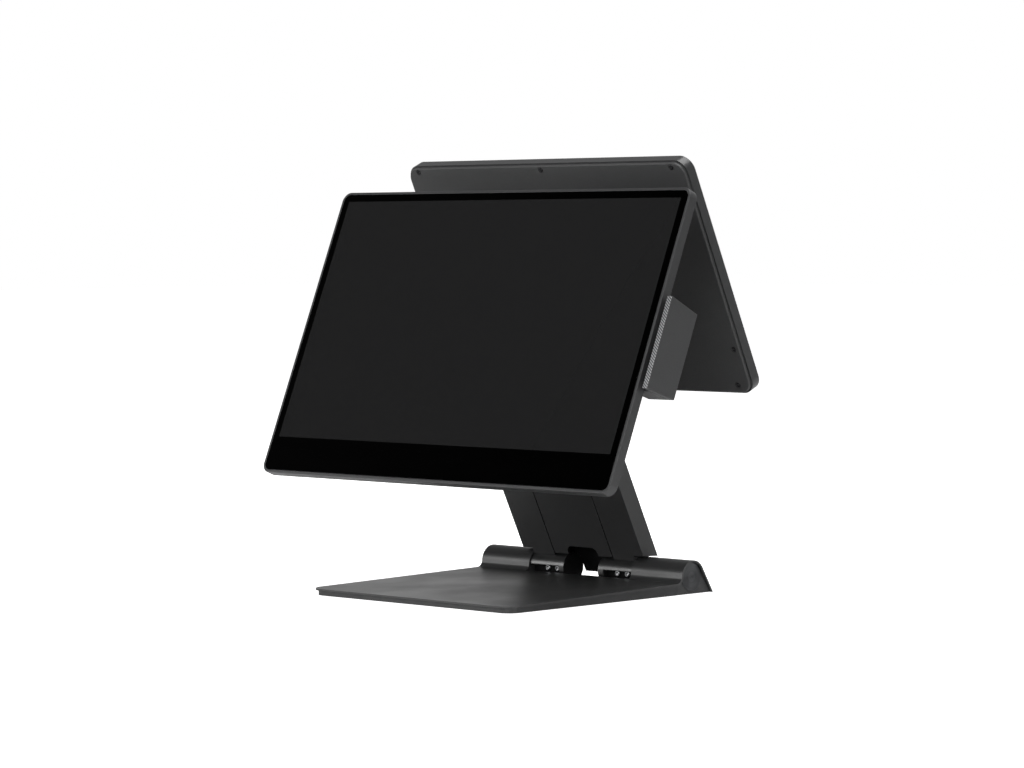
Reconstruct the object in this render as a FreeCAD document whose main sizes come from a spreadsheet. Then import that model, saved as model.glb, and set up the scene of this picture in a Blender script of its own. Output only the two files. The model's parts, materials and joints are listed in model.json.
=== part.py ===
import FreeCAD, Part
import math
import os
import re
import Sketcher

# Two-screen checkout terminal on a folding arm. Millimetres, +X to the operator's right,
# +Y to the customer's side, +Z up. The origin is the middle of the base's footprint, on the desk.
# Four frames of reference are used: "desk", "arm" (origin on the base hinge's axis, +Z along
# the arm), "front" (origin in the middle of the big screen, +Y into the unit) and "rear"
# (origin in the middle of the small screen's seam, +Y towards the customer).

DIMS = {
    # base: a bent sheet over a shallow tray
    "base_width": 209.0, "base_front": -108.1, "skin": 1.4, "plate_front_z": 5.45, "plate_slope": 1.14,
    "plate_corner": 12.0, "plate_fillet": 5.0, "tube_radius": 12.4, "rear_slope": 58.5, "under_z": 0.3,
    "hinge_y": 86.6, "hinge_z": 13.0, "bay_half": 53.3, "bay_front": 68.5, "tab_back": 74.0,
    "tray_inset": 2.4, "side_inset": 2.0, "tray_back": 71.2, "tray_floor": 1.0, "tray_seam": 0.1,
    "ballast_half": 78.0, "ballast_front": -68.0, "ballast_back": 46.0, "ballast_thick": 2.0,
    "foot_radius": 8.0, "foot_x": 86.0, "foot_front": -90.0, "foot_back": 57.0, "foot_sink": 0.6,
    "tray_screw_x": 60.0, "tray_screw_y": 40.0, "tray_screw_radius": 2.5,
    "shaft_radius": 4.0, "torque_radius": 7.0, "torque_in": 60.0, "torque_out": 88.0, "running": 0.05,
    "cap_radius": 10.8, "cap_spigot": 3.9, "cap_depth": 3.0, "cap_proud": 0.5,
    # arm: a hollow slab with a cable channel
    "lean": 26.2, "arm_half": 62.6, "arm_front": -2.2, "arm_rear": 12.2, "arm_top": 209.0,
    "arm_heel_front": 16.0, "arm_heel_rear": 8.2, "arm_skirt": 3.0, "mouth_half": 18.0, "mouth_top": 24.0,
    "channel_half": 25.0, "channel_back": 8.4, "cover_half": 29.9, "cover_thick": 2.0, "cover_low": 12.9,
    "cover_high": 199.6, "notch_half": 15.5, "notch_top": 19.9, "notch_radius": 5.0,
    "cover_gap": 0.9, "gap": 0.3,
    "panel_half": 45.0, "panel_low": 26.0, "panel_high": 182.0, "panel_thick": 1.8, "panel_corner": 6.0,
    "tongue_half": 17.7, "tongue_low": -9.5,
    "knuckle_radius": 11.2, "knuckle_in": 18.0, "knuckle_out": 52.8, "knuckle_wall": 1.6,
    "window_top": 1.3, "window_low": -8.0, "window_floor": -6.4,
    "knuckle_screw_z": -1.2, "knuckle_screw_radius": 2.3,
    "head_y": 6.2, "head_z": 224.0, "head_radius": 10.0, "head_half": 38.0,
    "tilt_shaft": 4.0, "tilt_shaft_half": 45.3, "shaft_head": 6.5, "shaft_head_thick": 1.5,
    "strut_half": 26.0, "strut_low": 211.8, "strut_high": 225.0, "strut_y": 66.3, "strut_z": 218.2,
    "strut_radius": 9.0, "flange_thick": 3.0, "flange_low": 186.5, "rear_shaft": 3.5, "rear_shaft_half": 32.0,
    # front unit
    "tilt": 22.7, "axis_depth": 24.7, "axis_height": 24.3,
    "frame_half": 180.25, "frame_top": 104.6, "frame_bottom": -125.7, "frame_depth": 9.0, "frame_corner": 7.5,
    "lip": 1.9, "frame_wall": 5.0, "glass_thick": 2.0, "glass_gap": 0.1, "lcd_half": 174.3, "lcd_top": 99.0,
    "lcd_bottom": -101.0, "lcd_front": 2.2, "lcd_back": 7.2,
    "back_inset": 3.75, "back_face": 12.0, "back_wall": 1.6, "back_chamfer": 2.2, "back_corner": 5.0,
    "hump_half": 118.0, "hump_top": -16.0, "hump_bottom": -108.0, "hump_face": 28.0, "hump_chamfer": 4.0,
    "hump_wall": 2.0, "slot_width": 2.2, "slot_length": 26.0, "slot_pitch": 6.0,
    "board_front": 14.0, "board_thick": 1.6, "board_left": -104.0, "board_right": 72.0,
    "cooler_width": 60.0, "cooler_half": 20.0, "cooler_middle": -54.0, "cooler_base": 2.0,
    "cooler_tall": 8.0, "fin_pitch": 6.5, "fin_thick": 1.5,
    "port_front": 13.6, "port_deep": 12.0, "port_wall": 1.0, "socket_deep": 3.5,
    "inlet_radius": 3.2, "inlet_pin": 1.0,
    "ear_half": 38.4, "ear_thick": 6.6, "bracket_half": 46.0, "bracket_high": 30.0, "bracket_thick": 2.5,
    "button_long": 12.0, "button_wide": 4.0, "button_z": -90.0, "button_depth": 5.4, "button_proud": 0.5,
    "button_inner": 176.2, "button_gap": 0.3,
    # card reader on the front unit's right side
    "reader_outer": 189.2, "reader_wall": 4.35, "reader_top": 22.1, "reader_bottom": -47.1,
    "reader_top_back": 19.7, "reader_bottom_back": -44.9, "reader_deep": 30.2, "reader_inner": 165.0,
    "card_slot": 1.25, "reader_bridge": 2.0,
    # rear unit
    "rear_tilt": 24.7, "rear_axis_depth": 20.0, "rear_axis_height": 12.5,
    "rear_half": 143.9, "rear_top": 94.2, "rear_depth": 8.0, "rear_corner": 11.0, "rear_rim": 1.0,
    "rear_lip": 1.6, "rear_glass_thick": 1.5, "rear_cover_thick": 2.4, "rear_cover_round": 1.0,
    "seam": 0.35, "rear_lcd_half": 132.0, "rear_lcd_top": 78.0,
    "rear_ear_half": 26.4, "rear_ear_thick": 5.6, "rear_bracket_half": 34.0, "rear_bracket_high": 26.0,
    # small screws
    "screw_head": 2.6, "screw_head_thick": 1.3, "screw_shank": 1.4, "sink_radius": 3.1, "sink_depth": 1.8,
    "small_head": 1.9, "small_sink": 2.3, "small_depth": 1.3,
}

FRAMES = {
    "desk": ("0", "0", "0"),
    "hinge": ("hinge_y", "hinge_z", "0"),
    "arm": ("hinge_y", "hinge_z", "lean"),
    "front": (
        "hinge_y + head_y * cos(lean) - head_z * sin(lean)"
        " - axis_depth * cos(tilt) - axis_height * sin(tilt)",
        "hinge_z + head_y * sin(lean) + head_z * cos(lean)"
        " + axis_depth * sin(tilt) - axis_height * cos(tilt)",
        "-tilt",
    ),
    "rear": (
        "hinge_y + strut_y * cos(lean) - strut_z * sin(lean)"
        " + rear_axis_depth * cos(rear_tilt) + rear_axis_height * sin(rear_tilt)",
        "hinge_z + strut_y * sin(lean) + strut_z * cos(lean)"
        " + rear_axis_depth * sin(rear_tilt) - rear_axis_height * cos(rear_tilt)",
        "rear_tilt",
    ),
}

TURNS = {
    "X": FreeCAD.Rotation(FreeCAD.Vector(0, 1, 0), 90),
    "Y": FreeCAD.Rotation(FreeCAD.Vector(1, 0, 0), -90),
    "Z": FreeCAD.Rotation(),
}

doc = FreeCAD.newDocument("checkout_terminal")
sheet = doc.addObject("Spreadsheet::Sheet", "Dims")
for row, (alias, number) in enumerate(DIMS.items(), start=1):
    sheet.set(f"A{row}", alias)
    sheet.set(f"B{row}", str(number))
    sheet.setAlias(f"B{row}", alias)
doc.recompute()

nodes = []


# ---- helpers ----

def expression(text):
    """Put the sheet's name before every alias in a formula."""
    return re.sub(r"[a-z][a-z_]*", lambda m: "Dims." + m[0] if m[0] in DIMS else m[0], str(text))


def bind(item, prop, text):
    item.setExpression(prop, expression(text))


def node(item, label, frame="desk"):
    """Name a finished sub-part and stand it in its frame of reference."""
    y, z, turn = FRAMES[frame]
    if item.TypeId in ("Part::Box", "Part::Cylinder"):
        item = group(item)
    for other in doc.getObjectsByLabel(label):
        other.Label = label + "_blank"
    item.Label = label
    item.Placement = FreeCAD.Placement(FreeCAD.Vector(), FreeCAD.Rotation(FreeCAD.Vector(1, 0, 0), 1))
    bind(item, "Placement.Base.y", y)
    bind(item, "Placement.Base.z", z)
    bind(item, "Placement.Rotation.Angle", turn)
    nodes.append(item)
    return item


def block(x, y, z):
    """Box from (low, high) pairs of formulas."""
    item = doc.addObject("Part::Box", "Block")
    for prop, axis, (low, high) in (("Length", "x", x), ("Width", "y", y), ("Height", "z", z)):
        bind(item, prop, f"({high}) - ({low})")
        bind(item, "Placement.Base." + axis, low)
    return item


def rod(along, radius, low, high, centre):
    """Cylinder along an axis, from low to high; centre gives the other two coordinates in order."""
    item = doc.addObject("Part::Cylinder", "Rod")
    item.Placement = FreeCAD.Placement(FreeCAD.Vector(), TURNS[along])
    bind(item, "Radius", radius)
    bind(item, "Height", f"({high}) - ({low})")
    first, second = centre
    base = {"X": (low, first, second), "Y": (first, low, second), "Z": (first, second, low)}[along]
    for axis, text in zip("xyz", base):
        bind(item, "Placement.Base." + axis, text)
    return item


def span(side, near, far):
    """(low, high) of a stretch between two distances from the middle, on the given side."""
    return (near, far) if side > 0 else (f"-({far})", f"-({near})")


def join(*parts):
    item = doc.addObject("Part::MultiFuse", "Join")
    item.Shapes = list(parts)
    return item


def group(*parts):
    item = doc.addObject("Part::Compound", "Group")
    item.Links = list(parts)
    return item


def cut(base, *tools):
    item = doc.addObject("Part::Cut", "Cut")
    item.Base = base
    item.Tool = tools[0] if len(tools) == 1 else group(*tools)
    return item


def new_body(label):
    return doc.addObject("PartDesign::Body", label)


def sketch_on(body, role, offset="0"):
    """Empty sketch on one of the body's own origin planes."""
    sketch = body.newObject("Sketcher::SketchObject", "Sketch")
    plane = next(item for item in body.Origin.OriginFeatures if item.Role == role)
    sketch.AttachmentSupport = (plane, [""])
    sketch.MapMode = "FlatFace"
    bind(sketch, "AttachmentOffset.Base.z", offset)
    return sketch


def draw_outline(sketch, points):
    """Closed polygon; both coordinates of every corner are bound to formulas."""
    start = sketch.GeometryCount
    count = len(points)
    ring = [FreeCAD.Vector(10 * math.cos(2 * math.pi * k / count), 10 * math.sin(2 * math.pi * k / count), 0)
            for k in range(count)]
    for k in range(count):
        sketch.addGeometry(Part.LineSegment(ring[k], ring[(k + 1) % count]), False)
    for k in range(count):
        sketch.addConstraint(Sketcher.Constraint("Coincident", start + k, 2, start + (k + 1) % count, 1))
    for k, corner in enumerate(points):
        for kind, text, number in zip(("DistanceX", "DistanceY"), corner, ring[k]):
            index = sketch.addConstraint(Sketcher.Constraint(kind, -1, 1, start + k, 1, number))
            sketch.setExpression(f"Constraints[{index}]", expression(text))


def draw_rectangle(sketch, x, z):
    draw_outline(sketch, [(x[0], z[0]), (x[1], z[0]), (x[1], z[1]), (x[0], z[1])])


def pad(body, sketch, length, reverse=False, both_sides=False):
    item = body.newObject("PartDesign::Pad", "Pad")
    item.Profile = sketch
    bind(item, "Length", length)
    item.Reversed = reverse
    item.Midplane = both_sides
    body.Tip = item
    doc.recompute()
    return item


def pocket(body, sketch, length, reverse=False, both_sides=False):
    """Cut, and make sure that it took something away."""
    before = body.Shape.Volume
    item = body.newObject("PartDesign::Pocket", "Pocket")
    item.Profile = sketch
    bind(item, "Length", length)
    item.Reversed = reverse
    item.Midplane = both_sides
    body.Tip = item
    doc.recompute()
    if body.Shape.Volume > before - 1e-3:
        raise RuntimeError("a pocket of " + body.Label + " cuts nothing")
    return item


def slab(label, x, z, front, back):
    """Body with a rectangular pad in the XZ plane, from depth front to depth back."""
    body = new_body(label)
    sketch = sketch_on(body, "XZ_Plane", f"-({front})")
    draw_rectangle(sketch, x, z)
    pad(body, sketch, f"({back}) - ({front})", reverse=True)
    return body


def recess(body, x, z, front, back):
    """Rectangular pocket in the XZ plane, from depth front to depth back."""
    sketch = sketch_on(body, "XZ_Plane", f"-({front})")
    draw_rectangle(sketch, x, z)
    return pocket(body, sketch, f"({back}) - ({front})")


def dress(body, kind, size, picks):
    """Fillet or chamfer the tip's edges that picks accepts."""
    doc.recompute()
    names = [f"Edge{k}" for k, edge in enumerate(body.Tip.Shape.Edges, start=1) if picks(edge)]
    if not names:
        raise RuntimeError("no edges to dress on " + body.Label)
    item = body.newObject("PartDesign::" + kind, kind)
    item.Base = (body.Tip if item != body.Tip else item.BaseFeature, names)
    bind(item, "Radius" if kind == "Fillet" else "Size", size)
    body.Tip = item
    doc.recompute()
    return item


def runs_along(edge, axis):
    """True for a straight edge parallel to an axis (0, 1 or 2)."""
    if not isinstance(edge.Curve, Part.Line):
        return False
    return abs(abs(edge.Curve.Direction[axis]) - 1) < 1e-6


def lies_at(edge, axis, number):
    """True if the whole edge has one coordinate."""
    box = edge.BoundBox
    low, high = ((box.XMin, box.XMax), (box.YMin, box.YMax), (box.ZMin, box.ZMax))[axis]
    return abs(low - number) < 0.02 and abs(high - number) < 0.02


def pan_screw(along, seat, centre, length, sign, head="screw_head", shank="screw_shank"):
    """Screw whose head stands on the seat and points to the given side of the axis."""
    if sign > 0:
        top = rod(along, head, seat, f"({seat}) + screw_head_thick", centre)
        stem = rod(along, shank, f"({seat}) - ({length})", seat, centre)
        drive = rod(along, f"({head}) * 0.45", f"({seat}) + screw_head_thick * 0.4",
                    f"({seat}) + screw_head_thick + 1", centre)
    else:
        top = rod(along, head, f"({seat}) - screw_head_thick", seat, centre)
        stem = rod(along, shank, seat, f"({seat}) + ({length})", centre)
        drive = rod(along, f"({head}) * 0.45", f"({seat}) - screw_head_thick - 1",
                    f"({seat}) - screw_head_thick * 0.4", centre)
    return cut(join(top, stem), drive)


# ---- base ----

def tangent_points():
    """Corner points of the bent sheet's profile in the YZ plane, from the driving dimensions."""
    slope = math.radians(DIMS["plate_slope"])
    rear = math.radians(DIMS["rear_slope"])
    hub = FreeCAD.Vector(DIMS["hinge_y"], DIMS["hinge_z"], 0)
    along = FreeCAD.Vector(math.cos(slope), math.sin(slope), 0)
    across = FreeCAD.Vector(-math.sin(slope), math.cos(slope), 0)
    front = FreeCAD.Vector(DIMS["base_front"], DIMS["plate_front_z"], 0)
    rise = (hub - front).dot(across) - DIMS["plate_fillet"]
    reach = DIMS["tube_radius"] + DIMS["plate_fillet"]
    bend = hub - along * math.sqrt(reach ** 2 - rise ** 2) - across * rise
    outward = FreeCAD.Vector(math.sin(rear), math.cos(rear), 0)
    down = FreeCAD.Vector(math.cos(rear), -math.sin(rear), 0)
    return hub, along, across, front, bend, outward, down


def make_base_plate():
    hub, along, across, front, bend, outward, down = tangent_points()
    skin, tube, fillet = DIMS["skin"], DIMS["tube_radius"], DIMS["plate_fillet"]
    toward = (bend - hub).normalize()

    def heel(radius):
        start = hub + outward * radius
        return start, start + down * ((start.y - DIMS["under_z"]) / -down.y)

    rear_top, rear_low = heel(tube)
    inner_top, inner_low = heel(tube - skin)
    under_bend = bend - across * (fillet + skin)
    front_low = front + FreeCAD.Vector(0, -skin / math.cos(math.radians(DIMS["plate_slope"])), 0)

    def arc(centre, radius, first, last, clockwise):
        start = math.atan2(first.y - centre.y, first.x - centre.x)
        end = math.atan2(last.y - centre.y, last.x - centre.x)
        low, high = (end, start) if clockwise else (start, end)
        circle = Part.Circle(centre, FreeCAD.Vector(0, 0, 1), radius)
        return Part.ArcOfCircle(circle, low, high + (2 * math.pi if high < low else 0))

    body = new_body("base_plate")
    sketch = sketch_on(body, "YZ_Plane")
    on_plate = bend - across * fillet
    meeting = hub + toward * tube
    meeting_in = hub + toward * (tube - skin)
    pieces = [
        Part.LineSegment(front, on_plate),
        arc(bend, fillet, on_plate, meeting, False),
        arc(hub, tube, meeting, rear_top, True),
        Part.LineSegment(rear_top, rear_low),
        Part.LineSegment(rear_low, inner_low),
        Part.LineSegment(inner_low, inner_top),
        arc(hub, tube - skin, meeting_in, inner_top, True),
        arc(bend, fillet + skin, under_bend, meeting_in, False),
        Part.LineSegment(under_bend, front_low),
        Part.LineSegment(front_low, front),
    ]
    for piece in pieces:
        sketch.addGeometry(piece, False)
    joints = [
        ("Tangent", 0, 2, 1, 1), ("Tangent", 1, 2, 2, 2), ("Tangent", 2, 1, 3, 1),
        ("Coincident", 3, 2, 4, 1), ("Coincident", 4, 2, 5, 1), ("Tangent", 5, 2, 6, 1),
        ("Tangent", 6, 2, 7, 2), ("Tangent", 7, 1, 8, 1), ("Coincident", 8, 2, 9, 1),
        ("Coincident", 9, 2, 0, 1), ("Coincident", 2, 3, 6, 3), ("Coincident", 1, 3, 7, 3),
        ("Parallel", 0, 8), ("Parallel", 3, 5), ("Horizontal", 4), ("Vertical", 9),
    ]
    for joint in joints:
        sketch.addConstraint(Sketcher.Constraint(*joint))
    sizes = [
        ("DistanceX", (-1, 1, 2, 3), hub.x, "hinge_y"),
        ("DistanceY", (-1, 1, 2, 3), hub.y, "hinge_z"),
        ("DistanceX", (-1, 1, 0, 1), front.x, "base_front"),
        ("DistanceY", (-1, 1, 0, 1), front.y, "plate_front_z"),
        ("Radius", (2,), tube, "tube_radius"),
        ("Radius", (6,), tube - skin, "tube_radius - skin"),
        ("Radius", (1,), fillet, "plate_fillet"),
        ("DistanceY", (-1, 1, 3, 2), DIMS["under_z"], "under_z"),
    ]
    for kind, where, number, text in sizes:
        index = sketch.addConstraint(Sketcher.Constraint(kind, *where, number))
        sketch.setExpression(f"Constraints[{index}]", expression(text))
    for line, text in ((0, "plate_slope"), (3, "-rear_slope")):
        angle = math.radians(DIMS["plate_slope"]) if line == 0 else -math.radians(DIMS["rear_slope"])
        index = sketch.addConstraint(Sketcher.Constraint("Angle", line, angle))
        sketch.setExpression(f"Constraints[{index}]", expression(text) + " * 1 deg")
    pad(body, sketch, "base_width", both_sides=True)
    bay = sketch_on(body, "XY_Plane", "-1")
    draw_rectangle(bay, ("-bay_half", "bay_half"), ("bay_front", "bay_front + 60"))
    pocket(body, bay, "40", reverse=True)
    tab = sketch_on(body, "YZ_Plane")
    draw_outline(tab, [("bay_front - 2", under_plate("bay_front - 2")), ("tab_back", under_plate("tab_back")),
                       ("tab_back", over_plate("tab_back")), ("bay_front - 2", over_plate("bay_front - 2"))])
    pad(body, tab, "2 * bay_half", both_sides=True)
    dress(body, "Fillet", "plate_corner", lambda e: runs_along(e, 2) and lies_at(e, 1, DIMS["base_front"]))
    return node(body, "base_plate")


def over_plate(y):
    """Formula for the height of the sheet's top at a given depth."""
    return f"plate_front_z + (({y}) - base_front) * tan(plate_slope)"


def under_plate(y):
    return over_plate(y) + " - skin / cos(plate_slope)"


def make_base_tray():
    body = new_body("base_tray")
    sketch = sketch_on(body, "YZ_Plane")
    front = "base_front + tray_inset"
    draw_outline(sketch, [(front, "under_z"), ("tray_back", "under_z"),
                          ("tray_back", under_plate("tray_back")), (front, under_plate(front))])
    pad(body, sketch, "base_width - 2 * side_inset", both_sides=True)
    well = sketch_on(body, "XY_Plane", "under_z + tray_floor")
    draw_rectangle(well, ("-ballast_half - gap", "ballast_half + gap"),
                   ("ballast_front - gap", "ballast_back + gap"))
    pocket(body, well, "20", reverse=True)
    dress(body, "Fillet", "plate_corner - tray_inset",
          lambda e: runs_along(e, 2) and lies_at(e, 1, DIMS["base_front"] + DIMS["tray_inset"]))
    tools = [rod("Z", "foot_radius + 0.1", "0", "under_z + foot_sink", place) for place in foot_places()]
    for place in tray_screw_places():
        tools.append(rod("Z", "tray_screw_radius + 0.1", "0", "under_z + 0.5", place))
        tools.append(rod("Z", "screw_shank", "0", "10", place))
    return node(cut(body, *tools), "base_tray")


def foot_places():
    corners = [(f"{side} * foot_x", y) for side in (-1, 1) for y in ("foot_front", "foot_back")]
    return corners + [("0", "0")]


def tray_screw_places():
    return [(f"{side} * tray_screw_x", f"{end} * tray_screw_y + 12") for side in (-1, 1) for end in (-2, 1)]


def make_base_small_parts():
    feet = [rod("Z", "foot_radius", "0", "under_z + foot_sink", place) for place in foot_places()]
    node(group(*feet), "rubber_feet")
    plate = block(("-ballast_half", "ballast_half"), ("ballast_front", "ballast_back"),
                  ("under_z + tray_floor", "under_z + tray_floor + ballast_thick"))
    holes = [rod("Z", "tray_screw_radius + 1", "0", "10", place) for place in tray_screw_places()]
    node(cut(plate, *holes), "ballast_plate")
    screws = []
    for place in tray_screw_places():
        head = rod("Z", "tray_screw_radius", "under_z + 0.1", "under_z + 0.5", place)
        stem = rod("Z", "screw_shank - 0.1", "under_z + 0.5", "under_z + 2.6", place)
        screws.append(join(head, stem))
    node(group(*screws), "tray_screws")


def make_hinge_housing(side, name):
    """Block under the sheet's roll that carries the friction unit and the shaft."""
    body = new_body("hinge_housing_" + name)
    inner, outer = "bay_half + gap", "base_width / 2 - side_inset"
    sketch = sketch_on(body, "YZ_Plane", span(side, inner, outer)[0])
    roll = "(tube_radius - skin - 0.1)"
    draw_outline(sketch, [
        ("tray_back + tray_seam", "under_z"),
        (f"hinge_y + ({roll} + (hinge_z - under_z) * cos(rear_slope)) / sin(rear_slope)", "under_z"),
        (f"hinge_y + {roll} * sin(rear_slope)", f"hinge_z + {roll} * cos(rear_slope)"),
        ("hinge_y", "hinge_z"),
        ("hinge_y - tube_radius + 1", "hinge_z - 1.9"),
        ("hinge_y - tube_radius - 0.3", "hinge_z - 3.55"),
        ("tray_back + tray_seam", under_plate("tray_back + tray_seam") + " - 0.1"),
    ])
    pad(body, sketch, f"({outer}) - ({inner})")
    axis = ("hinge_y", "hinge_z")
    drum = rod("X", roll, *span(side, inner, outer), axis)
    socket = rod("X", "torque_radius + 0.1", *span(side, "torque_in - gap", "torque_out + gap"), axis)
    bore = rod("X", "shaft_radius", *span(side, inner, outer), axis)
    node(cut(join(body, drum), socket, bore), "hinge_housing_" + name)

    disc_in, disc_out = outer, f"{outer} + cap_proud"
    spans = [(disc_in, disc_out, "cap_radius"), (f"({outer}) - cap_depth", disc_in, "cap_spigot")]
    discs = []
    for near, far, radius in spans:
        discs.append(rod("X", radius, *span(side, near, far), axis))
    node(join(*discs), "hinge_end_cap_" + name)

    shaft = rod("X", "shaft_radius", *span(side, "knuckle_in + knuckle_wall + 0.4", "torque_out"), axis)
    node(shaft, "hinge_shaft_" + name)

    rings = []
    for k in range(7):
        near, far = f"torque_in + {k} * 4", f"torque_in + {k} * 4 + {3 if k < 6 else 4}"
        rings.append(rod("X", "torque_radius", *span(side, near, far), axis))
    low, high = span(side, "torque_in", "torque_out")
    core = rod("X", "torque_radius - 1", low, high, axis)
    hole = rod("X", "shaft_radius", f"({low}) - 1", f"({high}) + 1", axis)
    node(cut(join(core, *rings), hole), "friction_unit_" + name)


# ---- arm ----

def make_arm_frame():
    body = new_body("arm_frame")
    sketch = sketch_on(body, "XZ_Plane", "-arm_front")
    half = [("arm_half", "arm_top"), ("arm_half", "arm_heel_rear - 1"), ("knuckle_out", "arm_heel_rear - 1"),
            ("knuckle_out", "arm_skirt"), ("mouth_half", "arm_skirt"), ("mouth_half", "mouth_top")]
    mirrored = [("-" + x, z) for x, z in reversed(half)]
    draw_outline(sketch, half + mirrored)
    pad(body, sketch, "arm_rear - arm_front", reverse=True)
    cover = "cover_half + cover_gap"
    recess(body, (f"-({cover})", cover), ("-20", "cover_high + cover_gap"),
           "arm_front", "arm_front + cover_thick + 0.2")
    recess(body, ("-channel_half", "channel_half"), ("-20", "cover_high - 4"), "arm_front", "channel_back")
    recess(body, ("-panel_half - 0.2", "panel_half + 0.2"), ("panel_low - 0.2", "panel_high + 0.2"),
           "arm_rear - panel_thick", "arm_rear")
    recess(body, ("-mouth_half", "mouth_half"), ("-20", "panel_low"), "arm_rear - panel_thick", "arm_rear")
    heel = new_body("arm_heel_cut")
    sketch = sketch_on(heel, "YZ_Plane")
    draw_outline(sketch, [("arm_front - 1", "arm_heel_front + (arm_heel_front - arm_heel_rear) / 14.4"),
                          ("arm_front - 1", "-20"), ("arm_rear + 1", "-20"),
                          ("arm_rear + 1", "arm_heel_rear - (arm_heel_front - arm_heel_rear) / 14.4")])
    pad(heel, sketch, "2 * arm_half + 2", both_sides=True)
    middle = block(("-knuckle_out", "knuckle_out"), ("-50", "50"), ("-50", "50"))
    saddle = rod("X", "knuckle_radius + 0.2", "-knuckle_out - 1", "knuckle_out + 1", ("0", "0"))
    holes = [rod("Y", "screw_shank", "0", "20", place)
             for place in panel_screw_places() + flange_screw_places()]
    dress(body, "Chamfer", "0.8", lambda e: runs_along(e, 0) and lies_at(e, 2, DIMS["arm_top"]))
    return node(cut(body, cut(heel, middle), saddle, *holes), "arm_frame", "arm")


def panel_screw_places():
    return [(f"{side} * (panel_half - 6)", z)
            for side in (-1, 1) for z in ("panel_low + 6", "panel_high - 6")]


def flange_screw_places():
    return [(f"{side} * (strut_half - 6)", z)
            for side in (-1, 1) for z in ("flange_low + 5", "flange_low + 17")]


def make_arm_covers():
    body = slab("arm_cable_cover", ("-cover_half", "cover_half"), ("cover_low", "cover_high"),
                "arm_front", "arm_front + cover_thick")
    recess(body, ("-notch_half", "notch_half"), ("0", "notch_top"), "arm_front - 1", "arm_rear")
    dress(body, "Fillet", "notch_radius", lambda e: runs_along(e, 1) and lies_at(e, 2, DIMS["notch_top"]))
    node(body, "arm_cable_cover", "arm")

    panel = slab("arm_back_panel", ("-panel_half", "panel_half"), ("panel_low", "panel_high"),
                 "arm_rear - panel_thick", "arm_rear")
    dress(panel, "Fillet", "panel_corner", lambda e: runs_along(e, 1) and lies_at(e, 2, DIMS["panel_high"]))
    tongue = block(("-tongue_half", "tongue_half"), ("arm_rear - panel_thick", "arm_rear"),
                   ("tongue_low", "panel_low + 1"))
    sinks = [rod("Y", "sink_radius", "arm_rear - 0.8", "arm_rear + 1", place)
             for place in panel_screw_places()]
    holes = [rod("Y", "screw_shank + 0.1", "0", "20", place) for place in panel_screw_places()]
    node(cut(join(panel, tongue), *sinks, *holes), "arm_back_panel", "arm")
    screws = [pan_screw("Y", "arm_rear - 0.8", place, "4", 1, shank="screw_shank - 0.1")
              for place in panel_screw_places()]
    node(group(*screws), "arm_panel_screws", "arm")


def make_knuckle(side, name, window, screw_places):
    """Roller of the arm that turns on the hinge shaft; its window shows the clamping screws."""
    drum = rod("X", "knuckle_radius", *span(side, "knuckle_in", "knuckle_out"), ("0", "0"))
    bore = rod("X", "shaft_radius + running",
               *span(side, "knuckle_in + knuckle_wall", "knuckle_out + 1"), ("0", "0"))
    opening = block(window, ("-30", "window_floor"), ("window_low", "window_top"))
    centres = [(x, "knuckle_screw_z") for x in screw_places]
    holes = [rod("Y", "screw_shank", "-10", "-shaft_radius - 0.9", centre) for centre in centres]
    node(cut(drum, bore, opening, *holes), "arm_knuckle_" + name, "hinge")
    screws = []
    for centre in centres:
        screws.append(pan_screw("Y", "window_floor", centre, "1.2", -1, "knuckle_screw_radius",
                                "screw_shank - 0.1"))
    node(group(*screws), "knuckle_screws_" + name, "hinge")


def make_arm_head():
    web = block(("-head_half", "head_half"), ("arm_front + 0.8", "arm_rear"), ("arm_top", "head_z"))
    drum = rod("X", "head_radius", "-head_half", "head_half", ("head_y", "head_z"))
    bore = rod("X", "tilt_shaft", "-head_half - 1", "head_half + 1", ("head_y", "head_z"))
    node(cut(join(web, drum), bore), "arm_head", "arm")

    shaft = rod("X", "tilt_shaft", "-tilt_shaft_half", "tilt_shaft_half", ("head_y", "head_z"))
    heads = [rod("X", "shaft_head", low, high, ("head_y", "head_z"))
             for low, high in (("tilt_shaft_half", "tilt_shaft_half + shaft_head_thick"),
                               ("-tilt_shaft_half - shaft_head_thick", "-tilt_shaft_half"))]
    node(join(shaft, *heads), "tilt_shaft", "arm")


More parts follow.
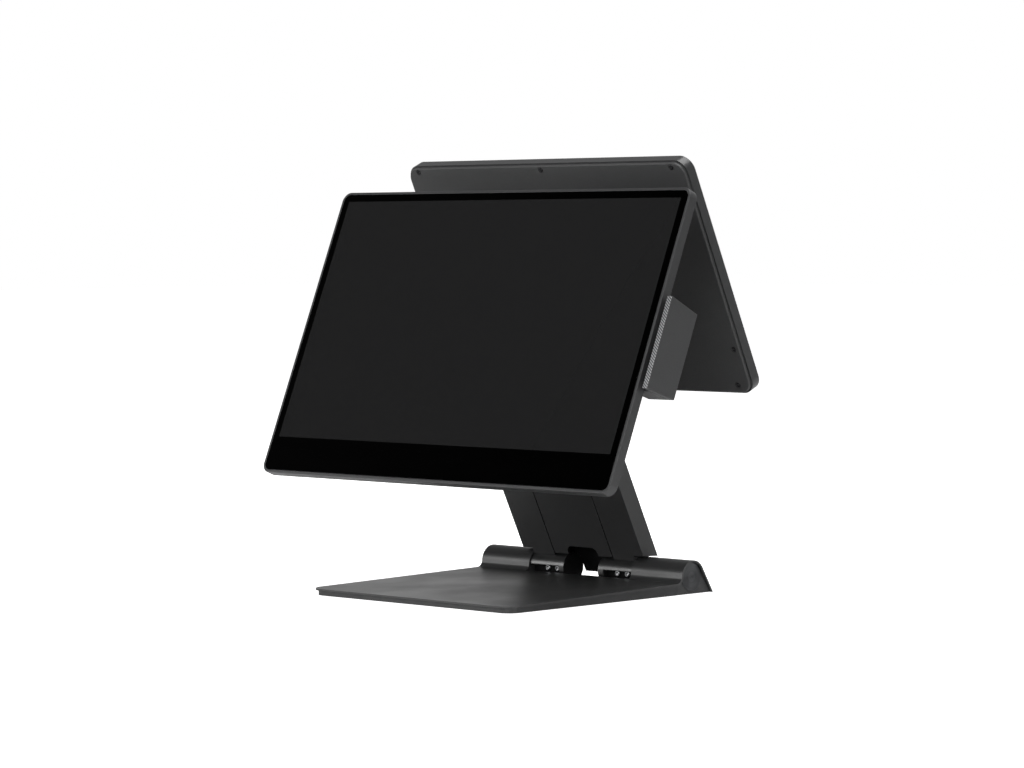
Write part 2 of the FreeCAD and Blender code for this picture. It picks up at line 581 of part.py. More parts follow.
def make_strut():
    """Beam from the arm's head to the small screen's hinge."""
    beam = block(("-strut_half", "strut_half"), ("head_y", "strut_y"), ("strut_low", "strut_high"))
    drum = rod("X", "strut_radius", "-strut_half", "strut_half", ("strut_y", "strut_z"))
    flange = block(("-strut_half", "strut_half"), ("arm_rear", "arm_rear + flange_thick"),
                   ("flange_low", "strut_low + 1"))
    around_head = rod("X", "head_radius + 0.02", "-strut_half - 1", "strut_half + 1", ("head_y", "head_z"))
    arm_side = block(("-strut_half - 1", "strut_half + 1"), ("-30", "arm_rear"), ("0", "300"))
    bore = rod("X", "rear_shaft", "-strut_half - 1", "strut_half + 1", ("strut_y", "strut_z"))
    waist = [rod("Z", "7", "strut_low - 1", "strut_high + 1", (f"{side} * (strut_half + 1)", "head_y + 34"))
             for side in (-1, 1)]
    holes = [rod("Y", "screw_shank + 0.1", "0", "30", place) for place in flange_screw_places()]
    node(cut(join(beam, drum, flange), around_head, arm_side, bore, *waist, *holes), "rear_strut", "arm")
    screws = [pan_screw("Y", "arm_rear + flange_thick", place, "6", 1, shank="screw_shank - 0.1")
              for place in flange_screw_places()]
    node(group(*screws), "strut_screws", "arm")
    shaft = rod("X", "rear_shaft", "-rear_shaft_half", "rear_shaft_half", ("strut_y", "strut_z"))
    heads = [rod("X", "shaft_head - 1", low, high, ("strut_y", "strut_z"))
             for low, high in (("rear_shaft_half", "rear_shaft_half + shaft_head_thick"),
                               ("-rear_shaft_half - shaft_head_thick", "-rear_shaft_half"))]
    node(join(shaft, *heads), "rear_shaft", "arm")


# ---- front unit ----

def make_display_frame():
    body = slab("display_frame", ("-frame_half", "frame_half"), ("frame_bottom", "frame_top"),
                "0", "frame_depth")
    recess(body, ("-frame_half + lip", "frame_half - lip"), ("frame_bottom + lip", "frame_top - lip"),
           "-1", "glass_thick + 0.1")
    shallow = DIMS["frame_depth"] - 1
    dress(body, "Fillet", "frame_corner - lip", lambda e: runs_along(e, 1) and e.Length < shallow)
    dress(body, "Fillet", "frame_corner", lambda e: runs_along(e, 1) and e.Length > shallow)
    recess(body, ("-frame_half + frame_wall", "frame_half - frame_wall"),
           ("frame_bottom + frame_wall", "frame_top - frame_wall"), "0", "frame_depth + 1")

    def at_end(edge):
        return lies_at(edge, 2, DIMS["frame_top"]) or lies_at(edge, 2, DIMS["frame_bottom"])

    def reach(edge):
        return max(abs(edge.BoundBox.XMin), abs(edge.BoundBox.XMax))

    side, past_corner = DIMS["frame_half"] - 0.1, DIMS["frame_half"] - DIMS["frame_corner"] - 0.1
    dress(body, "Chamfer", "1.4",
          lambda e: lies_at(e, 1, DIMS["frame_depth"]) and (at_end(e) or reach(e) > past_corner))
    dress(body, "Fillet", "0.5", lambda e: lies_at(e, 1, 0) and (at_end(e) or reach(e) > side))

    def button_block(x, room):
        half_wide, half_long = f"(button_wide / 2 + {room})", f"(button_long / 2 + {room})"
        return block(x, (f"button_depth - {half_wide}", f"button_depth + {half_wide}"),
                     (f"button_z - {half_long}", f"button_z + {half_long}"))

    hole = button_block(("-frame_half - 1", "-frame_half + frame_wall + 1"), "button_gap")
    node(cut(body, hole), "display_frame", "front")
    node(button_block(("-frame_half - button_proud", "-button_inner"), "0"), "power_button", "front")


def make_display_stack():
    edge = "lip + glass_gap"
    glass = slab("touch_glass", (f"-frame_half + {edge}", f"frame_half - ({edge})"),
                 (f"frame_bottom + {edge}", f"frame_top - ({edge})"), "0", "glass_thick")
    dress(glass, "Fillet", "frame_corner - lip - glass_gap", lambda e: runs_along(e, 1))
    node(glass, "touch_glass", "front")
    node(block(("-lcd_half", "lcd_half"), ("lcd_front", "lcd_back"), ("lcd_bottom", "lcd_top")),
         "lcd_panel", "front")


def make_back_cover():
    left, right = "-frame_half + back_inset", "frame_half - back_inset"
    low, high = "frame_bottom + back_inset", "frame_top - back_inset"
    body = slab("display_back_cover", (left, right), (low, high), "frame_depth", "back_face")
    dress(body, "Fillet", "back_corner", lambda e: runs_along(e, 1))
    dress(body, "Chamfer", "back_chamfer", lambda e: lies_at(e, 1, DIMS["back_face"]))
    sketch = sketch_on(body, "XZ_Plane", "-back_face + 1")
    draw_rectangle(sketch, ("-hump_half", "hump_half"), ("hump_bottom", "hump_top"))
    pad(body, sketch, "hump_face - back_face + 1", reverse=True)
    dress(body, "Fillet", "6", lambda e: runs_along(e, 1) and e.BoundBox.YMax > DIMS["hump_face"] - 0.1)
    dress(body, "Chamfer", "hump_chamfer", lambda e: lies_at(e, 1, DIMS["hump_face"]))
    recess(body, (f"({left}) + back_wall + 1", f"({right}) - back_wall - 1"),
           (f"({low}) + back_wall + 1", f"({high}) - back_wall - 1"),
           "frame_depth - 1", "back_face - back_wall")
    recess(body, ("-hump_half + hump_wall + 2", "hump_half - hump_wall - 2"),
           ("hump_bottom + hump_wall + 1", "hump_top - hump_wall - 2"),
           "frame_depth", "hump_face - hump_wall - 1")
    for z, count in (("hump_top - 22", 17), ("hump_bottom + 22", 17), ("frame_top - 24", 23)):
        sketch = sketch_on(body, "XZ_Plane", "-frame_depth")
        first = f"-slot_pitch * {(count - 1) / 2}"
        draw_rectangle(sketch, (f"{first} - slot_width / 2", f"{first} + slot_width / 2"),
                       (f"({z}) - slot_length / 2", f"({z}) + slot_length / 2"))
        slot = pocket(body, sketch, "30")
        row = body.newObject("PartDesign::LinearPattern", "Slots")
        row.Originals = [slot]
        row.Direction = (sketch, ["H_Axis"])
        bind(row, "Length", f"slot_pitch * {count - 1}")
        row.Occurrences = count
        body.Tip = row
        doc.recompute()
    sinks = [rod("Y", "sink_radius", "back_face - 0.9", "back_face + 1", place)
             for place in back_screw_places()]
    holes = [rod("Y", "screw_shank + 0.1", "0", "20", place)
             for place in back_screw_places() + bracket_screw_places()]
    doors = [block((f"{x} - {wide} / 2 - 0.1", f"{x} + {wide} / 2 + 0.1"),
                   ("port_front - 0.1", f"port_front + {tall} + 0.1"), ("hump_bottom - 1", "hump_bottom + 4"))
             for _, x, wide, tall in PORTS]
    node(cut(body, *sinks, *holes, *doors), "display_back_cover", "front")
    screws = [pan_screw("Y", "back_face - 0.9", place, "2.5", 1, shank="screw_shank - 0.1")
              for place in back_screw_places()]
    node(group(*screws), "back_cover_screws", "front")


def back_screw_places():
    rim = [(f"{x} * (frame_half - 14)", z) for x in (-1, 1) for z in ("frame_top - 13", "frame_bottom + 13")]
    return rim + [("0", "frame_top - 9"), ("0", "frame_bottom + 9")]


def bracket_screw_places():
    return [(f"{side} * 38", f"axis_height + {end} * (bracket_high - 6)")
            for side in (-1, 1) for end in (-1, 1)]


PORTS = [  # name, middle, width and height of each connector's shell
    ("dc_inlet", -92, 11, 10), ("network_port", -66, 16, 10), ("usb_port_a", -42, 14, 7),
    ("usb_port_b", -24, 14, 7), ("serial_port", 0, 16, 10), ("drawer_port", 24, 14, 10),
    ("video_port", 50, 16, 6),
]


MODULES = [  # name, x range, range of heights over the board, z range
    ("storage_module", ("38", "66"), (0, 3.5), ("-84", "-36")),
    ("memory_module", ("-96", "-40"), (0, 4), ("-60", "-34")),
    ("speaker_left", ("-108", "-80"), (5, 9), ("-54", "-30")),
    ("speaker_right", ("80", "108"), (5, 9), ("-54", "-30")),
]


def make_electronics():
    node(block(("board_left", "board_right"), ("board_front", "board_front + board_thick"),
               ("hump_bottom + 14", "hump_top - 10")), "mainboard", "front")
    top = "board_front + board_thick"
    cooler = ("cooler_middle - cooler_half", "cooler_middle + cooler_half")
    base = block(("-cooler_width / 2", "cooler_width / 2"), (top, f"{top} + cooler_base"), cooler)
    fins = []
    for k in range(10):
        left = f"-cooler_width / 2 + {k} * fin_pitch"
        fins.append(block((left, f"{left} + fin_thick"),
                          (f"{top} + cooler_base", f"{top} + cooler_tall"), cooler))
    node(join(base, *fins), "heat_sink", "front")
    for name, x, (low, high), z in MODULES:
        node(block(x, (f"{top} + {low}", f"{top} + {high}"), z), name, "front")
    for name, x, wide, tall in PORTS:
        shell = block((f"{x} - {wide} / 2", f"{x} + {wide} / 2"), ("port_front", f"port_front + {tall}"),
                      ("hump_bottom - 0.3", "hump_bottom + port_deep"))
        if name == "dc_inlet":
            centre = (f"{x}", f"port_front + {tall / 2}")
            socket = rod("Z", "inlet_radius", "hump_bottom - 1", "hump_bottom + socket_deep", centre)
            pin = rod("Z", "inlet_pin", "hump_bottom", "hump_bottom + 6", centre)
            node(join(cut(shell, socket), pin), name, "front")
            continue
        socket = block((f"{x} - {wide} / 2 + port_wall", f"{x} + {wide} / 2 - port_wall"),
                       ("port_front + port_wall", f"port_front + {tall} - port_wall"),
                       ("hump_bottom - 1", "hump_bottom + socket_deep"))
        node(cut(shell, socket), name, "front")


def make_tilt_bracket():
    """Plate on the back cover with two ears round the tilt shaft."""
    plate = slab("tilt_bracket_plate", ("-bracket_half", "bracket_half"),
                 ("axis_height - bracket_high", "axis_height + bracket_high"),
                 "back_face", "back_face + bracket_thick")
    dress(plate, "Fillet", "5", lambda e: runs_along(e, 1))
    centre = ("axis_depth", "axis_height")
    parts, bores = [plate], []
    for low, high in (("ear_half", "ear_half + ear_thick"), ("-ear_half - ear_thick", "-ear_half")):
        parts.append(rod("X", "head_radius", low, high, centre))
        parts.append(block((low, high), ("back_face", "axis_depth"),
                           ("axis_height - head_radius", "axis_height + head_radius")))
        bores.append(rod("X", "tilt_shaft + running", f"({low}) - 1", f"({high}) + 1", centre))
    holes = [rod("Y", "screw_shank + 0.1", "0", "30", place) for place in bracket_screw_places()]
    node(cut(join(*parts), *bores, *holes), "tilt_bracket", "front")
    screws = [pan_screw("Y", "back_face + bracket_thick", place, "4", 1, shank="screw_shank - 0.1")
              for place in bracket_screw_places()]
    node(group(*screws), "tilt_bracket_screws", "front")


def reader_prism(label, low, high, front):
    """Slice of the card reader's tapered side outline, from x low to x high."""
    body = new_body(label)
    sketch = sketch_on(body, "YZ_Plane", low)

    def edge(front_z, back_z):
        return f"{front_z} + ({back_z} - {front_z}) * ({front}) / reader_deep"

    draw_outline(sketch, [
        (front, edge("reader_bottom", "reader_bottom_back")),
        ("reader_deep", "reader_bottom_back"),
        ("reader_deep", "reader_top_back"),
        (front, edge("reader_top", "reader_top_back")),
    ])
    pad(body, sketch, f"({high}) - ({low})")
    return body


def make_card_reader():
    inner_face = "reader_outer - reader_wall"
    slot_face = f"{inner_face} - card_slot"
    wall = reader_prism("reader_wall_plate", inner_face, "reader_outer", "0")
    dress(wall, "Fillet", "0.6", lambda e: lies_at(e, 0, DIMS["reader_outer"]))
    bridge = reader_prism("reader_bridge_plate", slot_face, f"{inner_face} + 1",
                          "reader_deep - reader_bridge")
    node(join(wall, bridge), "card_reader_wall", "front")

    block_back = reader_prism("reader_block", "reader_inner", slot_face, "back_face + 0.1")
    block_side = reader_prism("reader_side", "frame_half - back_inset + 0.5", slot_face,
                              "frame_depth + 0.2")
    window = block((f"{slot_face} - 3", f"{slot_face} + 1"), ("15", "23"), ("-20", "-8"))
    holes = [rod("Y", "screw_shank", "20", "30", place) for place in reader_screw_places()]
    sinks = [rod("Y", "sink_radius", "reader_deep - sink_depth", "reader_deep + 1", place)
             for place in reader_screw_places()]
    node(cut(join(block_back, block_side), window, *holes, *sinks), "card_reader_body", "front")
    node(block((f"{slot_face} - 2.8", f"{slot_face} + 0.3"), ("15.3", "22.7"), ("-19.7", "-8.3")),
         "card_reader_head", "front")
    screws = [pan_screw("Y", "reader_deep - sink_depth", place, "5", 1, shank="screw_shank - 0.1")
              for place in reader_screw_places()]
    node(group(*screws), "card_reader_screws", "front")


def reader_screw_places():
    return [("174", "reader_top_back - 8"), ("174", "reader_bottom_back + 8")]


# ---- rear unit ----

def make_rear_unit():
    frame = slab("customer_frame", ("-rear_half", "rear_half"), ("-rear_top", "rear_top"), "0", "rear_depth")
    recess(frame, ("-rear_half + rear_lip", "rear_half - rear_lip"),
           ("-rear_top + rear_lip", "rear_top - rear_lip"),
           "rear_depth - rear_glass_thick - 0.1", "rear_depth + 1")
    dress(frame, "Fillet", "rear_corner - rear_lip",
          lambda e: runs_along(e, 1) and e.Length < DIMS["rear_depth"] - 1)
    dress(frame, "Fillet", "rear_corner", lambda e: runs_along(e, 1) and e.Length > DIMS["rear_depth"] - 1)
    recess(frame, ("-rear_half + 6", "rear_half - 6"), ("-rear_top + 6", "rear_top - 6"), "-1", "rear_depth")
    holes = [rod("Y", "screw_shank", "-1", "3.4", place) for place in customer_screw_places()]
    node(cut(frame, *holes), "customer_frame", "rear")

    edge = "rear_lip + glass_gap"
    glass = slab("customer_glass", (f"-rear_half + {edge}", f"rear_half - ({edge})"),
                 (f"-rear_top + {edge}", f"rear_top - ({edge})"),
                 "rear_depth - rear_glass_thick", "rear_depth")
    dress(glass, "Fillet", "rear_corner - rear_lip - glass_gap", lambda e: runs_along(e, 1))
    node(glass, "customer_glass", "rear")
    node(block(("-rear_lcd_half", "rear_lcd_half"), ("1.2", "rear_depth - rear_glass_thick - 0.2"),
               ("-rear_lcd_top", "rear_lcd_top")), "customer_lcd", "rear")

    rim = "rear_rim + seam"
    cover = slab("customer_cover", (f"-rear_half + {rim}", f"rear_half - ({rim})"),
                 (f"-rear_top + {rim}", f"rear_top - ({rim})"), "-rear_cover_thick", "-0.05")
    dress(cover, "Fillet", "rear_corner - rear_rim", lambda e: runs_along(e, 1))
    dress(cover, "Fillet", "rear_cover_round", lambda e: lies_at(e, 1, -DIMS["rear_cover_thick"]))
    recess(cover, ("-rear_half + 18", "rear_half - 18"), ("-rear_top + 18", "rear_top - 18"),
           "-rear_cover_thick / 2", "1")
    sinks = [rod("Y", "small_sink", "-rear_cover_thick - 1", "-rear_cover_thick + small_depth", place)
             for place in customer_screw_places()]
    holes = [rod("Y", "screw_shank + 0.1", "-10", "2", place)
             for place in customer_screw_places() + customer_bracket_places()]
    node(cut(cover, *sinks, *holes), "customer_cover", "rear")
    seat = "-rear_cover_thick + small_depth"
    screws = [pan_screw("Y", seat, place, "4", -1, "small_head", "screw_shank - 0.1")
              for place in customer_screw_places()]
    node(group(*screws), "customer_cover_screws", "rear")
    board = block(("-60", "60"), ("-rear_cover_thick / 2 + 0.2", "0.2"), ("-50", "-14"))
    node(board, "customer_driver_board", "rear")


def customer_screw_places():
    top = [(f"{x}", "rear_top - 4.6") for x in (-131, 0, 131)]
    sides = [(f"{x}", "-rear_top + 37") for x in (-137.4, 137.4)]
    bottom = [(f"{x}", "-rear_top + 7.5") for x in (-131, 131)]
    return top + sides + bottom


def customer_bracket_places():
    return [(f"{side} * 12", f"rear_axis_height + {end} * (rear_bracket_high - 6)")
            for side in (-1, 1) for end in (-1, 1)]


def make_rear_bracket():
    """Plate on the small screen's cover with two ears round the rear shaft."""
    centre = ("-rear_axis_depth", "rear_axis_height")
    plate = slab("customer_bracket_plate", ("-rear_bracket_half", "rear_bracket_half"),
                 ("rear_axis_height - rear_bracket_high", "rear_axis_height + rear_bracket_high"),
                 "-rear_cover_thick - bracket_thick", "-rear_cover_thick")
    dress(plate, "Fillet", "5", lambda e: runs_along(e, 1))
    parts, bores = [plate], []
    for low, high in (("rear_ear_half", "rear_ear_half + rear_ear_thick - 0.4"),
                      ("-rear_ear_half - rear_ear_thick + 0.4", "-rear_ear_half")):
        parts.append(rod("X", "strut_radius", low, high, centre))
        parts.append(block((low, high), ("-rear_axis_depth", "-rear_cover_thick"),
                           ("rear_axis_height - strut_radius", "rear_axis_height + strut_radius")))
        bores.append(rod("X", "rear_shaft + running", f"({low}) - 1", f"({high}) + 1", centre))
    holes = [rod("Y", "screw_shank + 0.1", "-20", "0", place) for place in customer_bracket_places()]
    node(cut(join(*parts), *bores, *holes), "customer_bracket", "rear")
    screws = [pan_screw("Y", "-rear_cover_thick - bracket_thick", place, "3.5", -1, shank="screw_shank - 0.1")
              for place in customer_bracket_places()]
    node(group(*screws), "customer_bracket_screws", "rear")


# ---- build, check and write ----

make_base_plate()
make_base_tray()
make_base_small_parts()
for side, name in ((-1, "left"), (1, "right")):
    make_hinge_housing(side, name)
make_arm_frame()
make_arm_covers()
make_knuckle(-1, "left", ("-60", "-23"), ("-38", "-28"))
make_knuckle(1, "right", ("23.5", "60"), ("34.5", "44.5"))
make_arm_head()
make_strut()
make_display_frame()
make_display_stack()
make_back_cover()
make_electronics()
make_tilt_bracket()
make_card_reader()
make_rear_unit()
make_rear_bracket()
doc.recompute()

faults = [f"{item.Label}: {item.State}" for item in doc.Objects if {"Invalid", "Error"} & set(item.State)]
faults += [f"{item.Label}: bad shape" for item in nodes if item.Shape.isNull() or not item.Shape.isValid()]
if faults:
    raise RuntimeError("; ".join(faults))

os.makedirs("parts", exist_ok=True)
for item in nodes:
    item.Shape.exportStep(f"parts/{item.Label}.step")
    print(f"{item.Label:28s} {item.Shape.Volume / 1000:9.2f} cm3  {len(item.Shape.Solids)} solid(s)")
print(len(nodes), "nodes")
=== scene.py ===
import json
import math
import bmesh
import bpy
from mathutils import Matrix, Vector


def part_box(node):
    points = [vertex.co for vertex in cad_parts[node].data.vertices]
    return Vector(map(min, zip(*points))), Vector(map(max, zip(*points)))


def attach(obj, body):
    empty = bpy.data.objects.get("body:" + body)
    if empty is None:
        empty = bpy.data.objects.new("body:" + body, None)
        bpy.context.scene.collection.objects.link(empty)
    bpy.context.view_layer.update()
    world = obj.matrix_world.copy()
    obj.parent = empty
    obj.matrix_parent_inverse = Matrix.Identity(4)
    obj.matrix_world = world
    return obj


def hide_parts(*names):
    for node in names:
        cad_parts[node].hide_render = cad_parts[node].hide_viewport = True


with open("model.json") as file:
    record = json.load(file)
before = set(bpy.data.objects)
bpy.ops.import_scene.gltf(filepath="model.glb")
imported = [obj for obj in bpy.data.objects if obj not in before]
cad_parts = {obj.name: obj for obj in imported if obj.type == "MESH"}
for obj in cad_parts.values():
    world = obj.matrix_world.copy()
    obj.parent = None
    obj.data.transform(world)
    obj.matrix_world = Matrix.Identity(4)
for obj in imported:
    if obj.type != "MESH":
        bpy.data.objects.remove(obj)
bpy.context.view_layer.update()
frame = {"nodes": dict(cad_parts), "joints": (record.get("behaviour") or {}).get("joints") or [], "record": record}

nodes = frame["nodes"]
mm = 0.001

bodyOf = {}
for bodyName, members in frame["record"]["behaviour"]["bodies"].items():
    for member in members:
        bodyOf[member] = bodyName


# Where each unit's own frame stands: the joint it turns on, its tilt, and the joint's place in that frame.
places = {
    "front": {"joint": "front_tilt", "tilt": -22.7, "axisBack": 24.7 * mm, "axisUp": 24.3 * mm},
    "rear": {"joint": "rear_tilt", "tilt": 24.7, "axisBack": -20.0 * mm, "axisUp": 12.5 * mm},
    "arm": {"joint": "base_fold", "tilt": 26.2, "axisBack": 0.0, "axisUp": 0.0},
    "hinge": {"joint": "base_fold", "tilt": 0.0, "axisBack": 0.0, "axisUp": 0.0},
    "desk": {"joint": None, "tilt": 0.0, "axisBack": 0.0, "axisUp": 0.0},
}


def placeOf(name):
    spec = places[name]
    turn = Matrix.Rotation(math.radians(spec["tilt"]), 4, "X")
    if spec["joint"] is None:
        return turn
    joint = next(row for row in frame["joints"] if row["name"] == spec["joint"])
    toMiddle = Matrix.Translation((0, -spec["axisBack"], -spec["axisUp"]))
    return Matrix.Translation(joint["pos_m"]) @ turn @ toMiddle


# Shader helpers

def addNode(tree, kind, **settings):
    node = tree.nodes.new(kind)
    for name, value in settings.items():
        setattr(node, name, value)
    return node


def setInputs(node, **values):
    for name, value in values.items():
        node.inputs[name.replace("_", " ")].default_value = value
    return node


def newGroup(name, inputs, outputs):
    group = bpy.data.node_groups.new(name, "ShaderNodeTree")
    for label, kind, value in inputs:
        socket = group.interface.new_socket(name=label, in_out="INPUT", socket_type=kind)
        if value is not None:
            socket.default_value = value
    for label, kind in outputs:
        group.interface.new_socket(name=label, in_out="OUTPUT", socket_type=kind)
    return group, addNode(group, "NodeGroupInput"), addNode(group, "NodeGroupOutput")


def mathNode(tree, operation, first, second=None, clamp=False):
    node = addNode(tree, "ShaderNodeMath", operation=operation, use_clamp=clamp)
    for index, value in enumerate((first, second)):
        if value is None:
            continue
        if isinstance(value, (int, float)):
            node.inputs[index].default_value = value
        else:
            tree.links.new(value, node.inputs[index])
    return node.outputs[0]


def noiseNode(tree, vector, scale, detail=2.0, rough=0.5):
    node = addNode(tree, "ShaderNodeTexNoise")
    setInputs(node, Detail=detail, Roughness=rough)
    tree.links.new(vector, node.inputs["Vector"])
    if isinstance(scale, (int, float)):
        node.inputs["Scale"].default_value = scale
    else:
        tree.links.new(scale, node.inputs["Scale"])
    return node.outputs["Fac"]


def rangeNode(tree, value, fromLow, fromHigh, toLow, toHigh, smooth=False):
    node = addNode(tree, "ShaderNodeMapRange", interpolation_type="SMOOTHSTEP" if smooth else "LINEAR")
    for index, number in enumerate((fromLow, fromHigh, toLow, toHigh), start=1):
        node.inputs[index].default_value = number
    tree.links.new(value, node.inputs[0])
    return node.outputs[0]


def fineGrainGroup():
    group, entry, leave = newGroup(
        "fineGrain",
        [("Vector", "NodeSocketVector", None), ("Grain Scale", "NodeSocketFloat", 1800.0),
         ("Patch Scale", "NodeSocketFloat", 12.0)],
        [("Height", "NodeSocketFloat"), ("Speckle", "NodeSocketFloat"), ("Patches", "NodeSocketFloat")])
    vector, scale = entry.outputs["Vector"], entry.outputs["Grain Scale"]
    fine = noiseNode(group, vector, scale, 3.0, 0.6)
    coarse = noiseNode(group, vector, mathNode(group, "MULTIPLY", scale, 0.31))
    fineShare = mathNode(group, "MULTIPLY", fine, 0.7)
    coarseShare = mathNode(group, "MULTIPLY", coarse, 0.3)
    height = mathNode(group, "ADD", fineShare, coarseShare)
    patches = noiseNode(group, vector, entry.outputs["Patch Scale"], 4.0, 0.55)
    group.links.new(height, leave.inputs["Height"])
    group.links.new(rangeNode(group, fine, 0.35, 0.68, 0.0, 1.0), leave.inputs["Speckle"])
    group.links.new(rangeNode(group, patches, 0.3, 0.7, 0.0, 1.0, True), leave.inputs["Patches"])
    return group


# Bevel faces get a lighter, smoother, patchy tone: partly wear, partly a painted highlight along the edges.
def wornEdgeAndHighlightGroup():
    group, entry, leave = newGroup(
        "wornEdgeAndHighlight",
        [("Vector", "NodeSocketVector", None), ("Breakup Scale", "NodeSocketFloat", 160.0),
         ("Amount", "NodeSocketFloat", 0.7)],
        [("Mask", "NodeSocketFloat")])
    attribute = addNode(group, "ShaderNodeAttribute", attribute_name="edgeFaces")
    breakup = noiseNode(group, entry.outputs["Vector"], entry.outputs["Breakup Scale"], 4.0, 0.6)
    patchy = rangeNode(group, breakup, 0.3, 0.65, 0.35, 1.0)
    mask = mathNode(group, "MULTIPLY", attribute.outputs["Fac"], patchy)
    group.links.new(mathNode(group, "MULTIPLY", mask, entry.outputs["Amount"], True), leave.inputs["Mask"])
    return group


def wipeMarksGroup():
    group, entry, leave = newGroup(
        "wipeMarks",
        [("Vector", "NodeSocketVector", None), ("Mark Scale", "NodeSocketFloat", 9.0)],
        [("Smear", "NodeSocketFloat"), ("Dust", "NodeSocketFloat")])
    stretch = addNode(group, "ShaderNodeMapping")
    stretch.inputs["Rotation"].default_value = (0.5, 0.7, 0.35)
    stretch.inputs["Scale"].default_value = (1.0, 1.0, 5.0)
    group.links.new(entry.outputs["Vector"], stretch.inputs["Vector"])
    smear = noiseNode(group, stretch.outputs["Vector"], entry.outputs["Mark Scale"], 5.0, 0.6)
    dust = noiseNode(group, entry.outputs["Vector"], 3100.0, 2.0, 0.7)
    group.links.new(rangeNode(group, smear, 0.35, 0.75, 0.0, 1.0, True), leave.inputs["Smear"])
    group.links.new(rangeNode(group, dust, 0.72, 0.8, 0.0, 1.0), leave.inputs["Dust"])
    return group


def spunRingsGroup():
    group, entry, leave = newGroup(
        "spunRings",
        [("Vector", "NodeSocketVector", None), ("Ring Scale", "NodeSocketFloat", 2600.0)],
        [("Height", "NodeSocketFloat"), ("Tone", "NodeSocketFloat")])
    split = addNode(group, "ShaderNodeSeparateXYZ")
    group.links.new(entry.outputs["Vector"], split.inputs[0])
    square = mathNode(group, "ADD", mathNode(group, "POWER", split.outputs[1], 2.0),
                      mathNode(group, "POWER", split.outputs[2], 2.0))
    radius = mathNode(group, "SQRT", square)
    combine = addNode(group, "ShaderNodeCombineXYZ")
    group.links.new(radius, combine.inputs[0])
    scale = entry.outputs["Ring Scale"]
    rings = noiseNode(group, combine.outputs[0], scale, 3.0, 0.7)
    bands = noiseNode(group, combine.outputs[0], mathNode(group, "MULTIPLY", scale, 0.2))
    group.links.new(rings, leave.inputs["Height"])
    group.links.new(rangeNode(group, bands, 0.3, 0.7, 0.0, 1.0), leave.inputs["Tone"])
    return group


def brushedGroup():
    group, entry, leave = newGroup(
        "brushedLines",
        [("Vector", "NodeSocketVector", None), ("Line Scale", "NodeSocketFloat", 900.0)],
        [("Height", "NodeSocketFloat")])
    stretch = addNode(group, "ShaderNodeMapping")
    stretch.inputs["Scale"].default_value = (0.03, 1.0, 1.0)
    group.links.new(entry.outputs["Vector"], stretch.inputs["Vector"])
    group.links.new(noiseNode(group, stretch.outputs["Vector"], entry.outputs["Line Scale"], 4.0, 0.7),
                    leave.inputs["Height"])
    return group


def ribsGroup():
    group, entry, leave = newGroup(
        "fineRibs",
        [("Vector", "NodeSocketVector", None), ("Rib Scale", "NodeSocketFloat", 240.0)],
        [("Height", "NodeSocketFloat"), ("Tone", "NodeSocketFloat")])
    wave = addNode(group, "ShaderNodeTexWave", wave_type="BANDS", bands_direction="DIAGONAL")
    setInputs(wave, Distortion=0.0)
    group.links.new(entry.outputs["Vector"], wave.inputs["Vector"])
    group.links.new(entry.outputs["Rib Scale"], wave.inputs["Scale"])
    group.links.new(wave.outputs["Fac"], leave.inputs["Height"])
    group.links.new(rangeNode(group, wave.outputs["Fac"], 0.2, 0.8, 0.0, 1.0, True), leave.inputs["Tone"])
    return group


groups = {
    "ribs": ribsGroup(),
    "grain": fineGrainGroup(),
    "edge": wornEdgeAndHighlightGroup(),
    "wipe": wipeMarksGroup(),
    "rings": spunRingsGroup(),
    "brushed": brushedGroup(),
}
print("shader groups:", len(groups))


def useGroup(tree, name, vector, **values):
    node = addNode(tree, "ShaderNodeGroup", node_tree=groups[name])
    tree.links.new(vector, node.inputs["Vector"])
    return setInputs(node, **values)


def newMaterial(name):
    material = bpy.data.materials.new(name)
    material.use_nodes = True
    tree = material.node_tree
    shader = next(node for node in tree.nodes if node.type == "BSDF_PRINCIPLED")
    coordinates = addNode(tree, "ShaderNodeTexCoord")
    return material, tree, shader, coordinates.outputs["Object"]


def mixColour(tree, mask, low, high):
    node = addNode(tree, "ShaderNodeMix", data_type="RGBA")
    for socket, value in ((node.inputs[6], low), (node.inputs[7], high)):
        if isinstance(value, tuple):
            socket.default_value = (*value, 1.0)
        else:
            tree.links.new(value, socket)
    tree.links.new(mask, node.inputs[0])
    return node.outputs[2]


def addBump(tree, shader, height, strength, distance):
    bump = addNode(tree, "ShaderNodeBump")
    setInputs(bump, Strength=strength, Distance=distance)
    tree.links.new(height, bump.inputs["Height"])
    tree.links.new(bump.outputs["Normal"], shader.inputs["Normal"])
